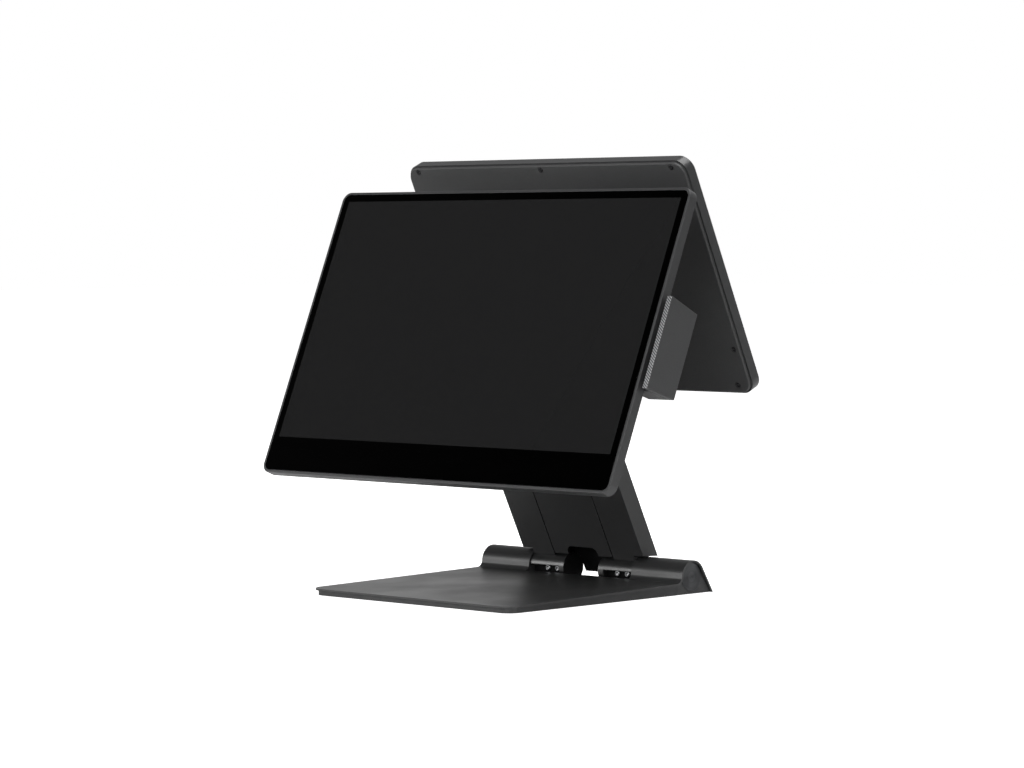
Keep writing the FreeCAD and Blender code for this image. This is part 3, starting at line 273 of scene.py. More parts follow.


# Painted sheet, moulded plastic and rubber share one recipe: fine grain, soft patches and lighter edges, which are
# partly wear and partly painted highlight (strongest on the display frame and the card reader).
coats = {
    "basePaint": {"colour": (0.029, 0.0292, 0.030),
                  "rough": 0.38, "grain": 1500.0, "bump": 0.22, "edge": 0.35, "specular": 0.7},
    "trayPaint": {"colour": (0.045, 0.0455, 0.0465),
                  "rough": 0.5, "grain": 1700.0, "bump": 0.25, "edge": 0.1},
    "armPaint": {"colour": (0.042, 0.0423, 0.0432),
                 "rough": 0.46, "grain": 1500.0, "bump": 0.32, "edge": 0.12},
    "coverPaint": {"colour": (0.040, 0.0403, 0.0412),
                   "rough": 0.48, "grain": 1500.0, "bump": 0.32, "edge": 0.06},
    "rollPaint": {"colour": (0.015, 0.0152, 0.0157),
                  "rough": 0.3, "grain": 2100.0, "bump": 0.10, "edge": 0.3, "specular": 0.95},
    "framePaint": {"colour": (0.038, 0.0384, 0.0395),
                   "rough": 0.34, "grain": 2300.0, "bump": 0.12, "edge": 0.9},
    "shellPlastic": {"colour": (0.046, 0.0463, 0.0472),
                     "rough": 0.5, "grain": 1300.0, "bump": 0.3, "edge": 0.12},
    "readerPaint": {"colour": (0.040, 0.0404, 0.0415),
                    "rough": 0.42, "grain": 1700.0, "bump": 0.22, "edge": 1.0},
    "bracketPaint": {"colour": (0.022, 0.0222, 0.0228),
                     "rough": 0.45, "grain": 1500.0, "bump": 0.3, "edge": 0.5},
    # Near-black, rough and almost without sheen: painted shade for the cable way and the knuckles' windows and
    # inner ends.
    "paintedShade": {"colour": (0.004, 0.004, 0.0042),
                   "rough": 0.75, "grain": 1300.0, "bump": 0.2, "edge": 0.0, "specular": 0.15},
    "blackPlastic": {"colour": (0.012, 0.012, 0.0123),
                     "rough": 0.5, "grain": 1500.0, "bump": 0.3, "edge": 0.2},
    "rubber": {"colour": (0.013, 0.013, 0.013),
               "rough": 0.8, "grain": 1100.0, "bump": 0.5, "edge": 0.1},
    "buttonPlastic": {"colour": (0.035, 0.035, 0.036),
                      "rough": 0.35, "grain": 2500.0, "bump": 0.1, "edge": 0.5},
}


# How a coat's own colour varies: the grain's two tones, and the bright tone of the bevelled edges, which is partly
# wear and partly painted highlight.
coatTones = {"darker": 0.88, "lighter": 1.14, "edgeTimes": 2.6, "edgePlus": 0.03, "patchMix": 0.35,
             "patchScale": 14.0, "breakupScale": 150.0, "edgePolish": 0.12, "smoother": 0.04, "rougher": 0.05,
             "specular": 0.5, "bumpDeep": 0.2 * mm}


def makeCoat(name, spec):
    material, tree, shader, place = newMaterial(name)
    tones = coatTones
    grain = useGroup(tree, "grain", place, Grain_Scale=spec["grain"], Patch_Scale=tones["patchScale"])
    edge = useGroup(tree, "edge", place, Breakup_Scale=tones["breakupScale"], Amount=spec["edge"])
    colour = spec["colour"]
    darker = tuple(c * tones["darker"] for c in colour)
    lighter = tuple(c * tones["lighter"] for c in colour)
    bright = tuple(min(1.0, c * tones["edgeTimes"] + tones["edgePlus"]) for c in colour)
    speckled = mixColour(tree, grain.outputs["Speckle"], darker, lighter)
    patches = rangeNode(tree, grain.outputs["Patches"], 0, 1, 0, tones["patchMix"])
    patchy = mixColour(tree, patches, speckled, darker)
    tree.links.new(mixColour(tree, edge.outputs["Mask"], patchy, bright), shader.inputs["Base Color"])
    lowRough, highRough = spec["rough"] - tones["smoother"], spec["rough"] + tones["rougher"]
    rough = rangeNode(tree, grain.outputs["Patches"], 0, 1, lowRough, highRough)
    polished = rangeNode(tree, edge.outputs["Mask"], 0, 1, 0, tones["edgePolish"])
    tree.links.new(mathNode(tree, "SUBTRACT", rough, polished), shader.inputs["Roughness"])
    shader.inputs["Specular IOR Level"].default_value = spec.get("specular", tones["specular"])
    addBump(tree, shader, grain.outputs["Height"], spec["bump"], tones["bumpDeep"])
    return material


metals = {
    "bareSteel": {"colour": (0.52, 0.53, 0.55), "rough": 0.3, "lines": 900.0},
    "brightScrew": {"colour": (0.42, 0.425, 0.435), "rough": 0.26, "lines": 1600.0},
    "darkScrew": {"colour": (0.05, 0.05, 0.052), "rough": 0.32, "lines": 1400.0},
    "tinShell": {"colour": (0.6, 0.61, 0.62), "rough": 0.28, "lines": 700.0},
    "contactGold": {"colour": (0.78, 0.56, 0.2), "rough": 0.25, "lines": 1500.0},
    "panelSheet": {"colour": (0.5, 0.51, 0.52), "rough": 0.4, "lines": 400.0},
    "castFin": {"colour": (0.35, 0.36, 0.37), "rough": 0.45, "lines": 500.0},
}


# How a brushed metal's own colour and roughness vary along its lines.
metalTones = {"darker": 0.85, "patchScale": 60.0, "smoother": 0.06, "rougher": 0.08, "bump": 0.15,
              "bumpDeep": 0.1 * mm}


def makeMetal(name, spec):
    material, tree, shader, place = newMaterial(name)
    lines = useGroup(tree, "brushed", place, Line_Scale=spec["lines"])
    tones = metalTones
    grain = useGroup(tree, "grain", place, Grain_Scale=spec["lines"], Patch_Scale=tones["patchScale"])
    colour = spec["colour"]
    darker = tuple(c * tones["darker"] for c in colour)
    tone = mixColour(tree, lines.outputs["Height"], darker, colour)
    tree.links.new(mixColour(tree, grain.outputs["Patches"], tone, colour), shader.inputs["Base Color"])
    lowRough, highRough = spec["rough"] - tones["smoother"], spec["rough"] + tones["rougher"]
    rough = rangeNode(tree, lines.outputs["Height"], 0.3, 0.7, lowRough, highRough)
    tree.links.new(rough, shader.inputs["Roughness"])
    shader.inputs["Metallic"].default_value = 1.0
    addBump(tree, shader, lines.outputs["Height"], tones["bump"], tones["bumpDeep"])
    return material


# Front edge of the card reader's wall: light ribs over darker grooves, a painted highlight along its chamfer.
ribbedHighlightEdge = {"groove": (0.07, 0.071, 0.073), "crestHighlight": (0.42, 0.425, 0.435), "rough": 0.32,
              "grooveRough": 0.15, "metallic": 0.6, "ribs": 240.0, "bump": 0.4, "bumpDeep": 0.2 * mm}


def makeRibbedMetal(name, spec):
    material, tree, shader, place = newMaterial(name)
    ribs = useGroup(tree, "ribs", place, Rib_Scale=spec["ribs"])
    colour = mixColour(tree, ribs.outputs["Tone"], spec["groove"], spec["crestHighlight"])
    tree.links.new(colour, shader.inputs["Base Color"])
    rough = rangeNode(tree, ribs.outputs["Tone"], 0, 1, spec["rough"] + spec["grooveRough"], spec["rough"])
    tree.links.new(rough, shader.inputs["Roughness"])
    shader.inputs["Metallic"].default_value = spec["metallic"]
    addBump(tree, shader, ribs.outputs["Height"], spec["bump"], spec["bumpDeep"])
    return material


# The disc is turned about the hinge's axis: fine rings, with the metal's grain along them.
spunCap = {"colour": (0.10, 0.102, 0.106), "darkRing": 0.7, "rough": 0.34, "roughMore": 0.1, "along": 0.88,
           "rings": 2600.0, "bump": 0.2, "bumpDeep": 0.1 * mm}


def makeSpunMetal(name, spec):
    material, tree, shader, place = newMaterial(name)
    centre = addNode(tree, "ShaderNodeMapping", vector_type="TEXTURE")
    centre.inputs["Location"].default_value = placeOf("hinge").translation
    tree.links.new(place, centre.inputs["Vector"])
    rings = useGroup(tree, "rings", centre.outputs["Vector"], Ring_Scale=spec["rings"])
    darker = tuple(c * spec["darkRing"] for c in spec["colour"])
    colour = mixColour(tree, rings.outputs["Tone"], darker, spec["colour"])
    tree.links.new(colour, shader.inputs["Base Color"])
    rough = rangeNode(tree, rings.outputs["Tone"], 0, 1, spec["rough"], spec["rough"] + spec["roughMore"])
    tree.links.new(rough, shader.inputs["Roughness"])
    shader.inputs["Metallic"].default_value = 1.0
    shader.inputs["Anisotropic"].default_value = spec["along"]
    around = addNode(tree, "ShaderNodeVectorMath", operation="CROSS_PRODUCT")
    around.inputs[0].default_value = (1, 0, 0)
    tree.links.new(centre.outputs["Vector"], around.inputs[1])
    tree.links.new(around.outputs["Vector"], shader.inputs["Tangent"])
    addBump(tree, shader, rings.outputs["Height"], spec["bump"], spec["bumpDeep"])
    return material


# The lit area and its black printed border; the half sizes are in the screen's own frame.
glassTones = {"soft": 0.12 * mm, "dust": (0.25, 0.25, 0.25), "dustMix": 0.003, "smearRough": 0.05,
              "areaRough": 0.02, "markScale": 9.0, "index": 1.5, "bump": 0.005, "bumpDeep": 0.1 * mm}
screens = {
    "frontGlass": {"place": "front", "halfWide": 172.08 * mm, "halfHigh": 96.8 * mm, "middleUp": 0.0,
                   "area": (0.0118, 0.0118, 0.012), "border": (0.0001, 0.0001, 0.0001), "rough": 0.05,
                   "specular": 0.3},
    "customerGlass": {"place": "rear", "halfWide": 129.0 * mm, "halfHigh": 72.6 * mm, "middleUp": 4.0 * mm,
                      "area": (0.011, 0.011, 0.0115), "border": (0.0006, 0.0006, 0.0007), "rough": 0.05,
                      "specular": 0.5},
}


def makeScreenGlass(name, spec):
    material, tree, shader, place = newMaterial(name)
    unit = placeOf(spec["place"])
    local = addNode(tree, "ShaderNodeMapping", vector_type="TEXTURE")
    local.inputs["Location"].default_value = unit @ Vector((0, 0, spec["middleUp"]))
    local.inputs["Rotation"].default_value = unit.to_euler()
    tree.links.new(place, local.inputs["Vector"])
    split = addNode(tree, "ShaderNodeSeparateXYZ")
    tree.links.new(local.outputs["Vector"], split.inputs[0])
    soft = glassTones["soft"]
    masks = []
    for axis, half in ((0, spec["halfWide"]), (2, spec["halfHigh"])):
        away = mathNode(tree, "ABSOLUTE", split.outputs[axis])
        masks.append(rangeNode(tree, away, half - soft, half + soft, 1.0, 0.0, True))
    inside = mathNode(tree, "MULTIPLY", masks[0], masks[1])
    marks = useGroup(tree, "wipe", place, Mark_Scale=glassTones["markScale"])
    plain = mixColour(tree, inside, spec["border"], spec["area"])
    dust = rangeNode(tree, marks.outputs["Dust"], 0, 1, 0, glassTones["dustMix"])
    tree.links.new(mixColour(tree, dust, plain, glassTones["dust"]), shader.inputs["Base Color"])
    smeared = spec["rough"] + glassTones["smearRough"]
    smooth = rangeNode(tree, marks.outputs["Smear"], 0, 1, spec["rough"], smeared)
    matte = rangeNode(tree, inside, 0, 1, 0, glassTones["areaRough"])
    tree.links.new(mathNode(tree, "ADD", smooth, matte), shader.inputs["Roughness"])
    shader.inputs["IOR"].default_value = glassTones["index"]
    shader.inputs["Specular IOR Level"].default_value = spec["specular"]
    addBump(tree, shader, marks.outputs["Smear"], glassTones["bump"], glassTones["bumpDeep"])
    return material


boardLook = {"mask": (0.012, 0.07, 0.035), "lighter": 1.25, "trace": (0.03, 0.13, 0.07), "cells": 160.0,
             "evenness": 0.35, "track": (0.04, 0.07), "grain": 900.0, "patches": 40.0, "rough": (0.3, 0.42),
             "bump": 0.3, "bumpDeep": 0.05 * mm}


def makeBoard(name, spec):
    material, tree, shader, place = newMaterial(name)
    cells = addNode(tree, "ShaderNodeTexVoronoi", feature="DISTANCE_TO_EDGE")
    setInputs(cells, Scale=spec["cells"], Randomness=spec["evenness"])
    tree.links.new(place, cells.inputs["Vector"])
    tracks = rangeNode(tree, cells.outputs["Distance"], *spec["track"], 1.0, 0.0)
    grain = useGroup(tree, "grain", place, Grain_Scale=spec["grain"], Patch_Scale=spec["patches"])
    lighter = tuple(c * spec["lighter"] for c in spec["mask"])
    green = mixColour(tree, grain.outputs["Patches"], spec["mask"], lighter)
    tree.links.new(mixColour(tree, tracks, green, spec["trace"]), shader.inputs["Base Color"])
    rough = rangeNode(tree, grain.outputs["Speckle"], 0, 1, *spec["rough"])
    tree.links.new(rough, shader.inputs["Roughness"])
    addBump(tree, shader, tracks, spec["bump"], spec["bumpDeep"])
    return material


looks = {name: makeCoat(name, spec) for name, spec in coats.items()}
looks.update({name: makeMetal(name, spec) for name, spec in metals.items()})
looks.update({name: makeScreenGlass(name, spec) for name, spec in screens.items()})
looks["ribbedHighlightEdge"] = makeRibbedMetal("ribbedHighlightEdge", ribbedHighlightEdge)
looks["spunCap"] = makeSpunMetal("spunCap", spunCap)
looks["board"] = makeBoard("board", boardLook)
print("materials:", len(looks))


# Mesh helpers

def makeObject(bm, name, body, look, stands=(), place=None):
    for face in bm.faces:
        face.smooth = True
    mesh = bpy.data.meshes.new(name)
    bm.to_mesh(mesh)
    bm.free()
    if place is not None:
        mesh.transform(place)
    mesh.materials.append(looks[look])
    piece = bpy.data.objects.new(name, mesh)
    bpy.context.scene.collection.objects.link(piece)
    weighted = piece.modifiers.new("evenNormals", "WEIGHTED_NORMAL")
    weighted.keep_sharp = True
    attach(piece, body)
    if stands:
        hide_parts(*stands)
    return piece


def paintInside(piece, spec):
    # faces whose middle lies in one of the boxes get the second look
    piece.data.materials.append(looks[spec["look"]])
    toUnit = placeOf(spec["place"]).inverted()
    for face in piece.data.polygons:
        middle = toUnit @ face.center
        for low, high in spec["boxes"]:
            if all(low[k] * mm <= middle[k] <= high[k] * mm for k in range(3)):
                face.material_index = 1


# Distances and angles that tell one vertex, one flat face and one sharp edge from another.
meshLimits = {"samePoint": 2e-6, "flatAngle": math.radians(0.6), "sharpAngle": math.radians(28.0)}


def mergedCopy(node):
    bm = bmesh.new()
    bm.from_mesh(nodes[node].data)
    bmesh.ops.remove_doubles(bm, verts=bm.verts, dist=meshLimits["samePoint"])
    bmesh.ops.dissolve_limit(bm, angle_limit=meshLimits["flatAngle"], use_dissolve_boundaries=False,
                             verts=bm.verts, edges=bm.edges, delimit={"NORMAL"})
    return bm


def softenEdges(bm, width, segments):
    joined = [edge for edge in bm.edges if len(edge.link_faces) == 2]
    sharp = [edge for edge in joined if edge.calc_face_angle(0) > meshLimits["sharpAngle"]]
    # Bevel faces are marked for the coats' lighter edge tone, which is partly wear and partly painted highlight.
    edgeWearAndHighlight = bm.faces.layers.float.new("edgeFaces")
    made = bmesh.ops.bevel(bm, geom=sharp, offset=width, offset_type="OFFSET", segments=segments, profile=0.5,
                           affect="EDGES", clamp_overlap=True, material=-1)
    for face in made["faces"]:
        face[edgeWearAndHighlight] = 1.0


# CAD nodes that keep their shape and get rounded edges: look, slot, edge width in mm, segments.
softened = {
    "base_plate": ("basePaint", "base_metal", 0.35, 2),
    "base_tray": ("trayPaint", "tray_metal", 0.3, 2),
    "hinge_housing_left": ("trayPaint", "tray_metal", 0.3, 2),
    "hinge_housing_right": ("trayPaint", "tray_metal", 0.3, 2),
    "arm_frame": ("armPaint", "arm_metal", 0.4, 2),
    "arm_cable_cover": ("coverPaint", "arm_cover_metal", 0.15, 2),
    "arm_back_panel": ("coverPaint", "arm_cover_metal", 0.3, 2),
    "arm_knuckle_left": ("rollPaint", "roll_metal", 0.3, 2),
    "arm_knuckle_right": ("rollPaint", "roll_metal", 0.3, 2),
    "arm_head": ("armPaint", "arm_metal", 0.6, 3),
    "rear_strut": ("bracketPaint", "bracket_steel", 0.6, 3),
    "display_frame": ("framePaint", "frame_metal", 0.25, 2),
    "touch_glass": ("frontGlass", "black_glass", 0.25, 3),
    "display_back_cover": ("shellPlastic", "cover_plastic", 0.35, 2),
    "tilt_bracket": ("bracketPaint", "bracket_steel", 0.4, 2),
    "card_reader_wall": ("readerPaint", "reader_metal", 0.3, 2),
    "card_reader_body": ("readerPaint", "reader_metal", 0.4, 2),
    "card_reader_head": ("bareSteel", "reader_head", 0.5, 3),
    "power_button": ("buttonPlastic", "button_plastic", 0.4, 3),
    "customer_frame": ("framePaint", "frame_metal", 0.5, 3),
    "customer_glass": ("customerGlass", "black_glass", 0.25, 3),
    "customer_cover": ("shellPlastic", "cover_plastic", 0.3, 2),
    "customer_bracket": ("bracketPaint", "bracket_steel", 0.4, 2),
    "heat_sink": ("castFin", "panel_metal", 0.2, 2),
    "mainboard": ("board", "circuit_board", 0.15, 1),
    "customer_driver_board": ("board", "circuit_board", 0.15, 1),
    "memory_module": ("blackPlastic", "circuit_board", 0.2, 1),
    "storage_module": ("panelSheet", "circuit_board", 0.3, 2),
    "speaker_left": ("blackPlastic", "speaker_plastic", 0.6, 2),
    "speaker_right": ("blackPlastic", "speaker_plastic", 0.6, 2),
    "rubber_feet": ("rubber", "foot_rubber", 0.3, 2),
}
# Faces with a second look, picked by boxes in mm in the unit's own frame: the cable way, the knuckles' windows and
# inner ends get near-black painted shade, and the ribbed front edge of the card reader's wall gets light ribs as a
# painted highlight.
insides = {
    "arm_frame": {"place": "arm", "look": "paintedShade", "boxes": [((-31, -2.0, -20), (31, 10.6, 205))]},
    "arm_cable_cover": {"place": "arm", "look": "paintedShade", "boxes": [((-40, -2.1, 0), (40, 0.1, 205))]},
    "arm_back_panel": {"place": "arm", "look": "paintedShade", "boxes": [((-46, 10, -20), (46, 12.1, 190))]},
    "arm_knuckle_left": {"place": "hinge", "look": "paintedShade",
                         "boxes": [((-19, -12, -12), (-17.9, 12, 12)),
                                   ((-52.7, -6.6, -8), (-22.9, -5, 1.4)),
                                   ((-52.7, -10.9, 1.2), (-22.9, -6, 1.4))]},
    "arm_knuckle_right": {"place": "hinge", "look": "paintedShade",
                          "boxes": [((17.9, -12, -12), (19, 12, 12)),
                                    ((23.4, -6.6, -8), (52.7, -5, 1.4)),
                                    ((23.4, -10.9, 1.2), (52.7, -6, 1.4))]},
    "card_reader_wall": {"place": "front", "look": "ribbedHighlightEdge",
                         "boxes": [((184.9, -0.05, -60), (189.1, 0.3, 40))]},
}
for node, (look, slot, width, segments) in softened.items():
    bm = mergedCopy(node)
    softenEdges(bm, width * mm, segments)
    piece = makeObject(bm, node + "_soft", bodyOf[node], look, (node,))
    if node in insides:
        paintInside(piece, insides[node])
print("softened pieces:", len(softened))


# CAD nodes that stay as they are and only change material.
kept = {
    "ballast_plate": "panelSheet", "hinge_shaft_left": "bareSteel", "hinge_shaft_right": "bareSteel",
    "friction_unit_left": "castFin", "friction_unit_right": "castFin", "tilt_shaft": "bareSteel",
    "rear_shaft": "bareSteel", "lcd_panel": "panelSheet", "customer_lcd": "panelSheet",
    "dc_inlet": "blackPlastic", "network_port": "tinShell", "usb_port_a": "tinShell",
    "usb_port_b": "tinShell", "serial_port": "tinShell", "drawer_port": "tinShell",
    "video_port": "tinShell",
}
for node, look in kept.items():
    for index in range(len(nodes[node].data.materials)):
        nodes[node].data.materials[index] = looks[look]


def islandsOf(node, place):
    # boxes of the node's separate solids, in the unit's own frame
    bm = bmesh.new()
    bm.from_mesh(nodes[node].data)
    bmesh.ops.remove_doubles(bm, verts=bm.verts, dist=meshLimits["samePoint"])
    bm.transform(place.inverted())
    left = set(bm.verts)
    found = []
    while left:
        front = [left.pop()]
        island = list(front)
        while front:
            vert = front.pop()
            for edge in vert.link_edges:
                other = edge.other_vert(vert)
                if other in left:
                    left.remove(other)
                    front.append(other)
                    island.append(other)
        low = Vector([min(v.co[k] for v in island) for k in range(3)])
        high = Vector([max(v.co[k] for v in island) for k in range(3)])
        found.append((low, high))
    bm.free()
    return sorted(found, key=lambda box: tuple(round(c, 5) for c in box[0]))


def lathe(bm, profile, steps):
    # turns (radius, height) points about Z
    verts = [bm.verts.new((radius, 0, height)) for radius, height in profile]
    edges = [bm.edges.new(pair) for pair in zip(verts, verts[1:])]
    bmesh.ops.spin(bm, geom=verts + edges, cent=(0, 0, 0), axis=(0, 0, 1), angle=2 * math.pi, steps=steps,
                   use_merge=True)
    bmesh.ops.remove_doubles(bm, verts=bm.verts, dist=1e-7)


# Screws: the unit they belong to, the axis and side their heads point to, and their metal.
screwSlots = {"darkScrew": "dark_screw", "brightScrew": "bright_screw"}
screwSets = {
    "customer_cover_screws": {"place": "rear", "axis": 1, "sign": -1, "look": "darkScrew"},
    "customer_bracket_screws": {"place": "rear", "axis": 1, "sign": -1, "look": "darkScrew"},
    "back_cover_screws": {"place": "front", "axis": 1, "sign": 1, "look": "darkScrew"},
    "tilt_bracket_screws": {"place": "front", "axis": 1, "sign": 1, "look": "darkScrew"},
    "card_reader_screws": {"place": "front", "axis": 1, "sign": 1, "look": "darkScrew"},
    "arm_panel_screws": {"place": "arm", "axis": 1, "sign": 1, "look": "darkScrew"},
    "strut_screws": {"place": "arm", "axis": 1, "sign": 1, "look": "darkScrew"},
    "knuckle_screws_left": {"place": "hinge", "axis": 1, "sign": -1, "look": "brightScrew"},
    "knuckle_screws_right": {"place": "hinge", "axis": 1, "sign": -1, "look": "brightScrew"},
    "tray_screws": {"place": "desk", "axis": 2, "sign": -1, "look": "darkScrew"},
}
screwShape = {"headThick": 1.3 * mm, "headShare": 0.6, "shank": 1.25 * mm, "shankShare": 0.6, "socket": 0.52,
              "socketDeep": 0.7 * mm, "socketShare": 0.6, "rim": 0.25 * mm, "rimShare": 0.3, "steps": 24,
              "turnStep": 0.7}


def addScrew(bm, radius, length, turn):
    # axis along +Z, the top of the head at z = 0; the socket is round first and then pushed out to a hexagon
    thick = min(screwShape["headThick"], length * screwShape["headShare"])
    shank = min(screwShape["shank"], radius * screwShape["shankShare"])
    rim = min(screwShape["rim"], thick * screwShape["rimShare"])
    socket = radius * screwShape["socket"]
    deep = min(screwShape["socketDeep"], thick * screwShape["socketShare"])
    hollow = [(0, -deep), (socket, -deep), (socket, -rim * 0.3), (socket + rim * 0.35, 0)]
    head = [(radius * 0.72, -rim * 0.15), (radius - rim * 0.5, -rim * 0.6)]
    head += [(radius, -rim * 1.4), (radius, -thick)]
    stem = [(shank, -thick), (shank, -length + shank * 0.5), (shank * 0.5, -length), (0, -length)]
    lathe(bm, hollow + head + stem, screwShape["steps"])
    side = math.pi / 3
    for vert in bm.verts:
        flat = Vector((vert.co.x, vert.co.y))
        if 1e-6 < flat.length <= socket + rim * 0.4 and vert.co.z > -thick * 0.9:
            away = math.atan2(flat.y, flat.x) % side - side / 2
            factor = math.cos(side / 2) / math.cos(away)
            vert.co.x *= factor
            vert.co.y *= factor
    bmesh.ops.rotate(bm, cent=(0, 0, 0), matrix=Matrix.Rotation(turn, 3, "Z"), verts=bm.verts)


for node, spec in screwSets.items():
    place = placeOf(spec["place"])
    axis, sign = spec["axis"], spec["sign"]
    outward = Vector((0, 0, 0))
    outward[axis] = sign
    aim = outward.to_track_quat("Z", "X").to_matrix().to_4x4()
    whole = bmesh.new()
    for number, (low, high) in enumerate(islandsOf(node, place)):
        size = high - low
        top = (low + high) / 2
        top[axis] = high[axis] if sign > 0 else low[axis]
        one = bmesh.new()
        addScrew(one, size.x / 2, size[axis], screwShape["turnStep"] * number)
        one.transform(Matrix.Translation(top) @ aim)
        part = bpy.data.meshes.new("screwPart")
        bmesh.ops.recalc_face_normals(one, faces=one.faces)
        one.to_mesh(part)
        one.free()
        whole.from_mesh(part)
        bpy.data.meshes.remove(part)
    slot = screwSlots[spec["look"]]
    makeObject(whole, node + "_turned", bodyOf[node], spec["look"], (node,), place)
print("screw sets:", len(screwSets))


# Spun end caps of the hinge tube: a centre dimple, a sunk face inside a raised rim, and a spigot behind.
capShape = {"radius": 10.8 * mm, "bevel": 0.35 * mm, "dimple": 0.6 * mm, "dish": 0.25 * mm,
            "sunkFrom": 0.9 * mm, "sunkTo": 8.3 * mm, "rimFrom": 8.5 * mm, "sunk": 0.12 * mm,
            "spigot": 3.9 * mm, "spigotLong": 3.0 * mm, "steps": 64, "samePoint": 1e-6}
caps = {"hinge_end_cap_left": -1, "hinge_end_cap_right": 1}
for node, sign in caps.items():
    low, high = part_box(node)
    face = high.x if sign > 0 else low.x
    thick = (high.x - low.x) - capShape["spigotLong"]
    radius, bevel, sunk = capShape["radius"], capShape["bevel"], capShape["sunk"]
    spigot, end = capShape["spigot"], -thick - capShape["spigotLong"]
    dimple = [(0, -capShape["dish"] * 2), (capShape["dimple"], -capShape["dish"])]
    dish = [(capShape["sunkFrom"], -sunk), (capShape["sunkTo"], -sunk), (capShape["rimFrom"], 0)]
    rim = [(radius - bevel, 0), (radius - bevel * 0.3, -bevel * 0.3), (radius, -bevel), (radius, -thick)]
    back = [(spigot, -thick), (spigot, end), (0, end)]
    bm = bmesh.new()
    lathe(bm, dimple + dish + rim + back, capShape["steps"])
    middle = placeOf("hinge").translation
    turn = Matrix.Rotation(math.radians(90 * sign), 4, "Y")
    bm.transform(Matrix.Translation((face, middle.y, middle.z)) @ turn)
    bmesh.ops.remove_doubles(bm, verts=bm.verts, dist=capShape["samePoint"])
    bmesh.ops.recalc_face_normals(bm, faces=bm.faces)
    makeObject(bm, node + "_spun", "base", "spunCap", (node,))
print("end caps:", len(caps))


# Connector insides: a moulded tongue with a row of contacts in every socket.
ports = ("network_port", "usb_port_a", "usb_port_b", "serial_port", "drawer_port", "video_port")
tongueShape = {"side": 2.6 * mm, "half": 0.8 * mm, "mouth": 0.7 * mm, "floor": 3.75 * mm, "round": 0.2 * mm}
contactShape = {"half": 0.3 * mm, "pitch": 1.4 * mm, "proud": 0.12 * mm, "margin": 1.2 * mm, "back": 0.3 * mm,
                "round": 0.05 * mm}


def addBlock(bm, low, high, width):
    made = bmesh.ops.create_cube(bm, size=1.0)
    size, middle = Vector(high) - Vector(low), (Vector(high) + Vector(low)) / 2
    bmesh.ops.scale(bm, vec=size, verts=made["verts"])
    bmesh.ops.translate(bm, vec=middle, verts=made["verts"])
    edges = list({edge for vert in made["verts"] for edge in vert.link_edges})
    bmesh.ops.bevel(bm, geom=edges, offset=width, offset_type="OFFSET", segments=2, profile=0.5,
                    affect="EDGES", clamp_overlap=True, material=-1)


for node in ports:
    place = placeOf("front")
    low, high = islandsOf(node, place)[0]
    middle = (low.y + high.y) / 2
    left, right = low.x + tongueShape["side"], high.x - tongueShape["side"]
    mouth, floor = low.z + tongueShape["mouth"], low.z + tongueShape["floor"]
    under, over = middle - tongueShape["half"], middle + tongueShape["half"]
    tongue, contacts = bmesh.new(), bmesh.new()
    addBlock(tongue, (left, under, mouth), (right, over, floor), tongueShape["round"])
    half, pitch = contactShape["half"], contactShape["pitch"]
    count = int((right - left - contactShape["margin"]) / pitch) + 1
    first = (left + right) / 2 - (count - 1) * pitch / 2
    sunk, top = middle + tongueShape["half"] * 0.5, over + contactShape["proud"]
    for index in range(count):
        x = first + index * pitch
        corner = (x - half, sunk, mouth + contactShape["back"])
        addBlock(contacts, corner, (x + half, top, floor), contactShape["round"])
    makeObject(tongue, node + "_tongue", "front_unit", "blackPlastic", (), place)
    makeObject(contacts, node + "_contacts", "front_unit", "contactGold", (), place)
print("connector insides:", len(ports))


# Stage, lights and camera
cameraSpec = {"place": (1.88494, -1.91961, 0.26916), "yaw": 44.447, "pitch": 2.400, "roll": -0.257,
              "lens": 127.36, "sensor": 36.0, "nearest": 0.05, "farthest": 60.0}


def makeCamera(spec):
    data = bpy.data.cameras.new("camera")
    data.lens = spec["lens"]
    data.sensor_width = spec["sensor"]
    data.clip_start = spec["nearest"]
    data.clip_end = spec["farthest"]
    camera = bpy.data.objects.new("camera", data)
    around = Matrix.Rotation(math.radians(spec["yaw"]), 3, "Z")
    down = Matrix.Rotation(math.radians(90 - spec["pitch"]), 3, "X")
    level = Matrix.Rotation(math.radians(spec["roll"]), 3, "Z")
    camera.rotation_euler = (around @ down @ level).to_euler()
    camera.location = spec["place"]
    bpy.context.scene.collection.objects.link(camera)
    bpy.context.scene.camera = camera


makeCamera(cameraSpec)

lights = {
    "overhead": {"place": (0.4, 0.1, 2.2), "aim": (0, 0.05, 0.1), "size": (1.8, 1.6), "power": 50.0},
    "rightSide": {"place": (2.5, -0.15, 0.55), "aim": (0, 0.05, 0.2), "size": (1.0, 1.2), "power": 11.0},
    "frontFill": {"place": (0.8, -2.4, 1.2), "aim": (0, 0.0, 0.2), "size": (1.8, 1.6), "power": 38.0},
    "lowStrip": {"place": (-1.75, -1.7, 0.62), "aim": (0, 0.0, 0.1), "size": (1.5, 0.5), "power": 13.0},
}


def makeLight(name, spec):
    data = bpy.data.lights.new(name, "AREA")
    data.shape = "RECTANGLE"
    data.size, data.size_y = spec["size"]
    data.energy = spec["power"]
    light = bpy.data.objects.new(name, data)
    light.location = spec["place"]
    light.rotation_euler = (Vector(spec["aim"]) - Vector(spec["place"])).to_track_quat("-Z", "Y").to_euler()
    light.visible_camera = False
    bpy.context.scene.collection.objects.link(light)


for name, spec in lights.items():
    makeLight(name, spec)

# The floor and the room glow white to the camera and light the object only softly.
floorSpec = {"half": 12.0, "colour": (0.8, 0.8, 0.8), "lift": 1.0, "rough": 0.7}


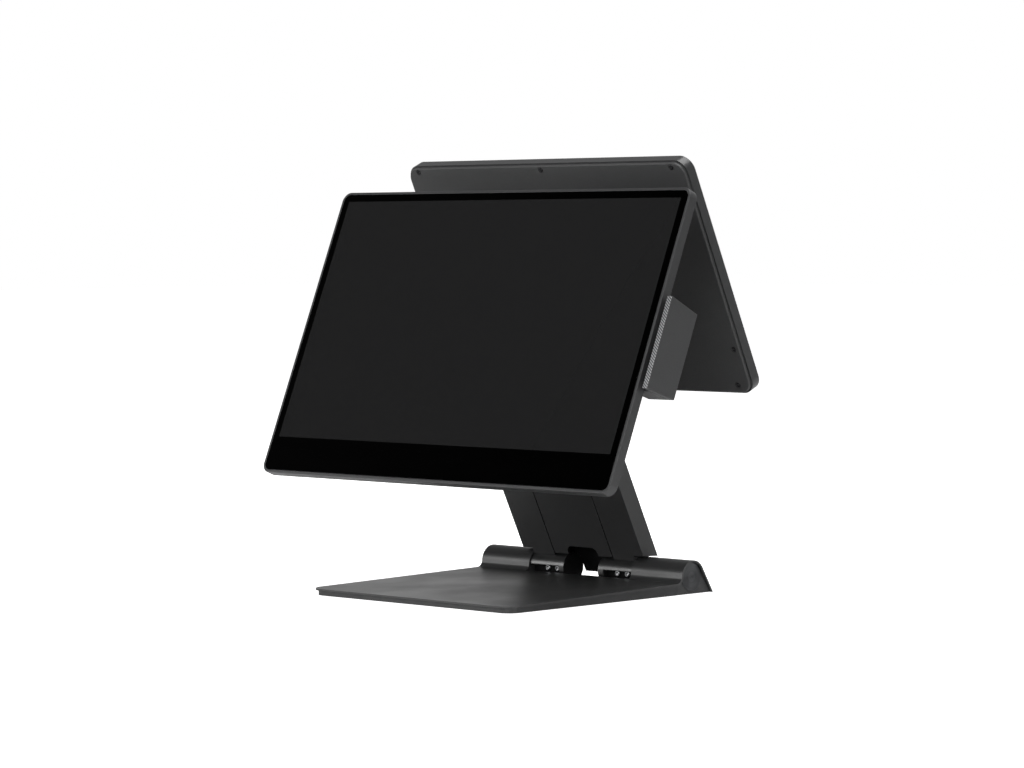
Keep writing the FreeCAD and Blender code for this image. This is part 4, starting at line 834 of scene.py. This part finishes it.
def makeFloor(spec):
    bm = bmesh.new()
    bmesh.ops.create_grid(bm, x_segments=8, y_segments=8, size=spec["half"])
    mesh = bpy.data.meshes.new("floor")
    bm.to_mesh(mesh)
    bm.free()
    material, tree, shader = newMaterial("floorPaint")[:3]
    shader.inputs["Base Color"].default_value = (*spec["colour"], 1.0)
    shader.inputs["Roughness"].default_value = spec["rough"]
    shader.inputs["Specular IOR Level"].default_value = 0.0
    shader.inputs["Emission Color"].default_value = (1, 1, 1, 1)
    path = addNode(tree, "ShaderNodeLightPath")
    tree.links.new(mathNode(tree, "MULTIPLY", path.outputs["Is Camera Ray"], spec["lift"]),
                   shader.inputs["Emission Strength"])
    mesh.materials.append(material)
    floor = bpy.data.objects.new("floor", mesh)
    bpy.context.scene.collection.objects.link(floor)


makeFloor(floorSpec)

worldSpec = {"seen": 1.0, "bright": 0.85, "dark": 0.02, "toward": (-0.6, 0.8, 0.0), "spread": (-0.15, 0.95),
             "high": (0.1, 0.55), "zenith": 0.25, "skirt": 0.22, "skirtHeight": (0.1, 0.3)}


def makeWorld(spec):
    world = bpy.data.worlds.new("studio")
    bpy.context.scene.world = world
    world.use_nodes = True
    tree = world.node_tree
    background = next(node for node in tree.nodes if node.type == "BACKGROUND")
    direction = addNode(tree, "ShaderNodeTexCoord").outputs["Generated"]
    split = addNode(tree, "ShaderNodeSeparateXYZ")
    tree.links.new(direction, split.inputs[0])
    facing = addNode(tree, "ShaderNodeVectorMath", operation="DOT_PRODUCT")
    facing.inputs[1].default_value = spec["toward"]
    tree.links.new(direction, facing.inputs[0])
    behind = rangeNode(tree, facing.outputs["Value"], *spec["spread"], spec["dark"], spec["bright"], True)
    high = rangeNode(tree, split.outputs[2], *spec["high"], 1.0, spec["zenith"], True)
    skirt = rangeNode(tree, split.outputs[2], *spec["skirtHeight"], spec["skirt"], 0.0, True)
    soft = mathNode(tree, "MAXIMUM", mathNode(tree, "MULTIPLY", behind, high), skirt)
    path = addNode(tree, "ShaderNodeLightPath")
    seen = mathNode(tree, "MULTIPLY", path.outputs["Is Camera Ray"], spec["seen"])
    tree.links.new(mathNode(tree, "MAXIMUM", soft, seen), background.inputs["Strength"])
    background.inputs["Color"].default_value = (1, 1, 1, 1)


makeWorld(worldSpec)
bpy.context.scene.view_settings.view_transform = "Standard"
print("stage, lights and camera ready")
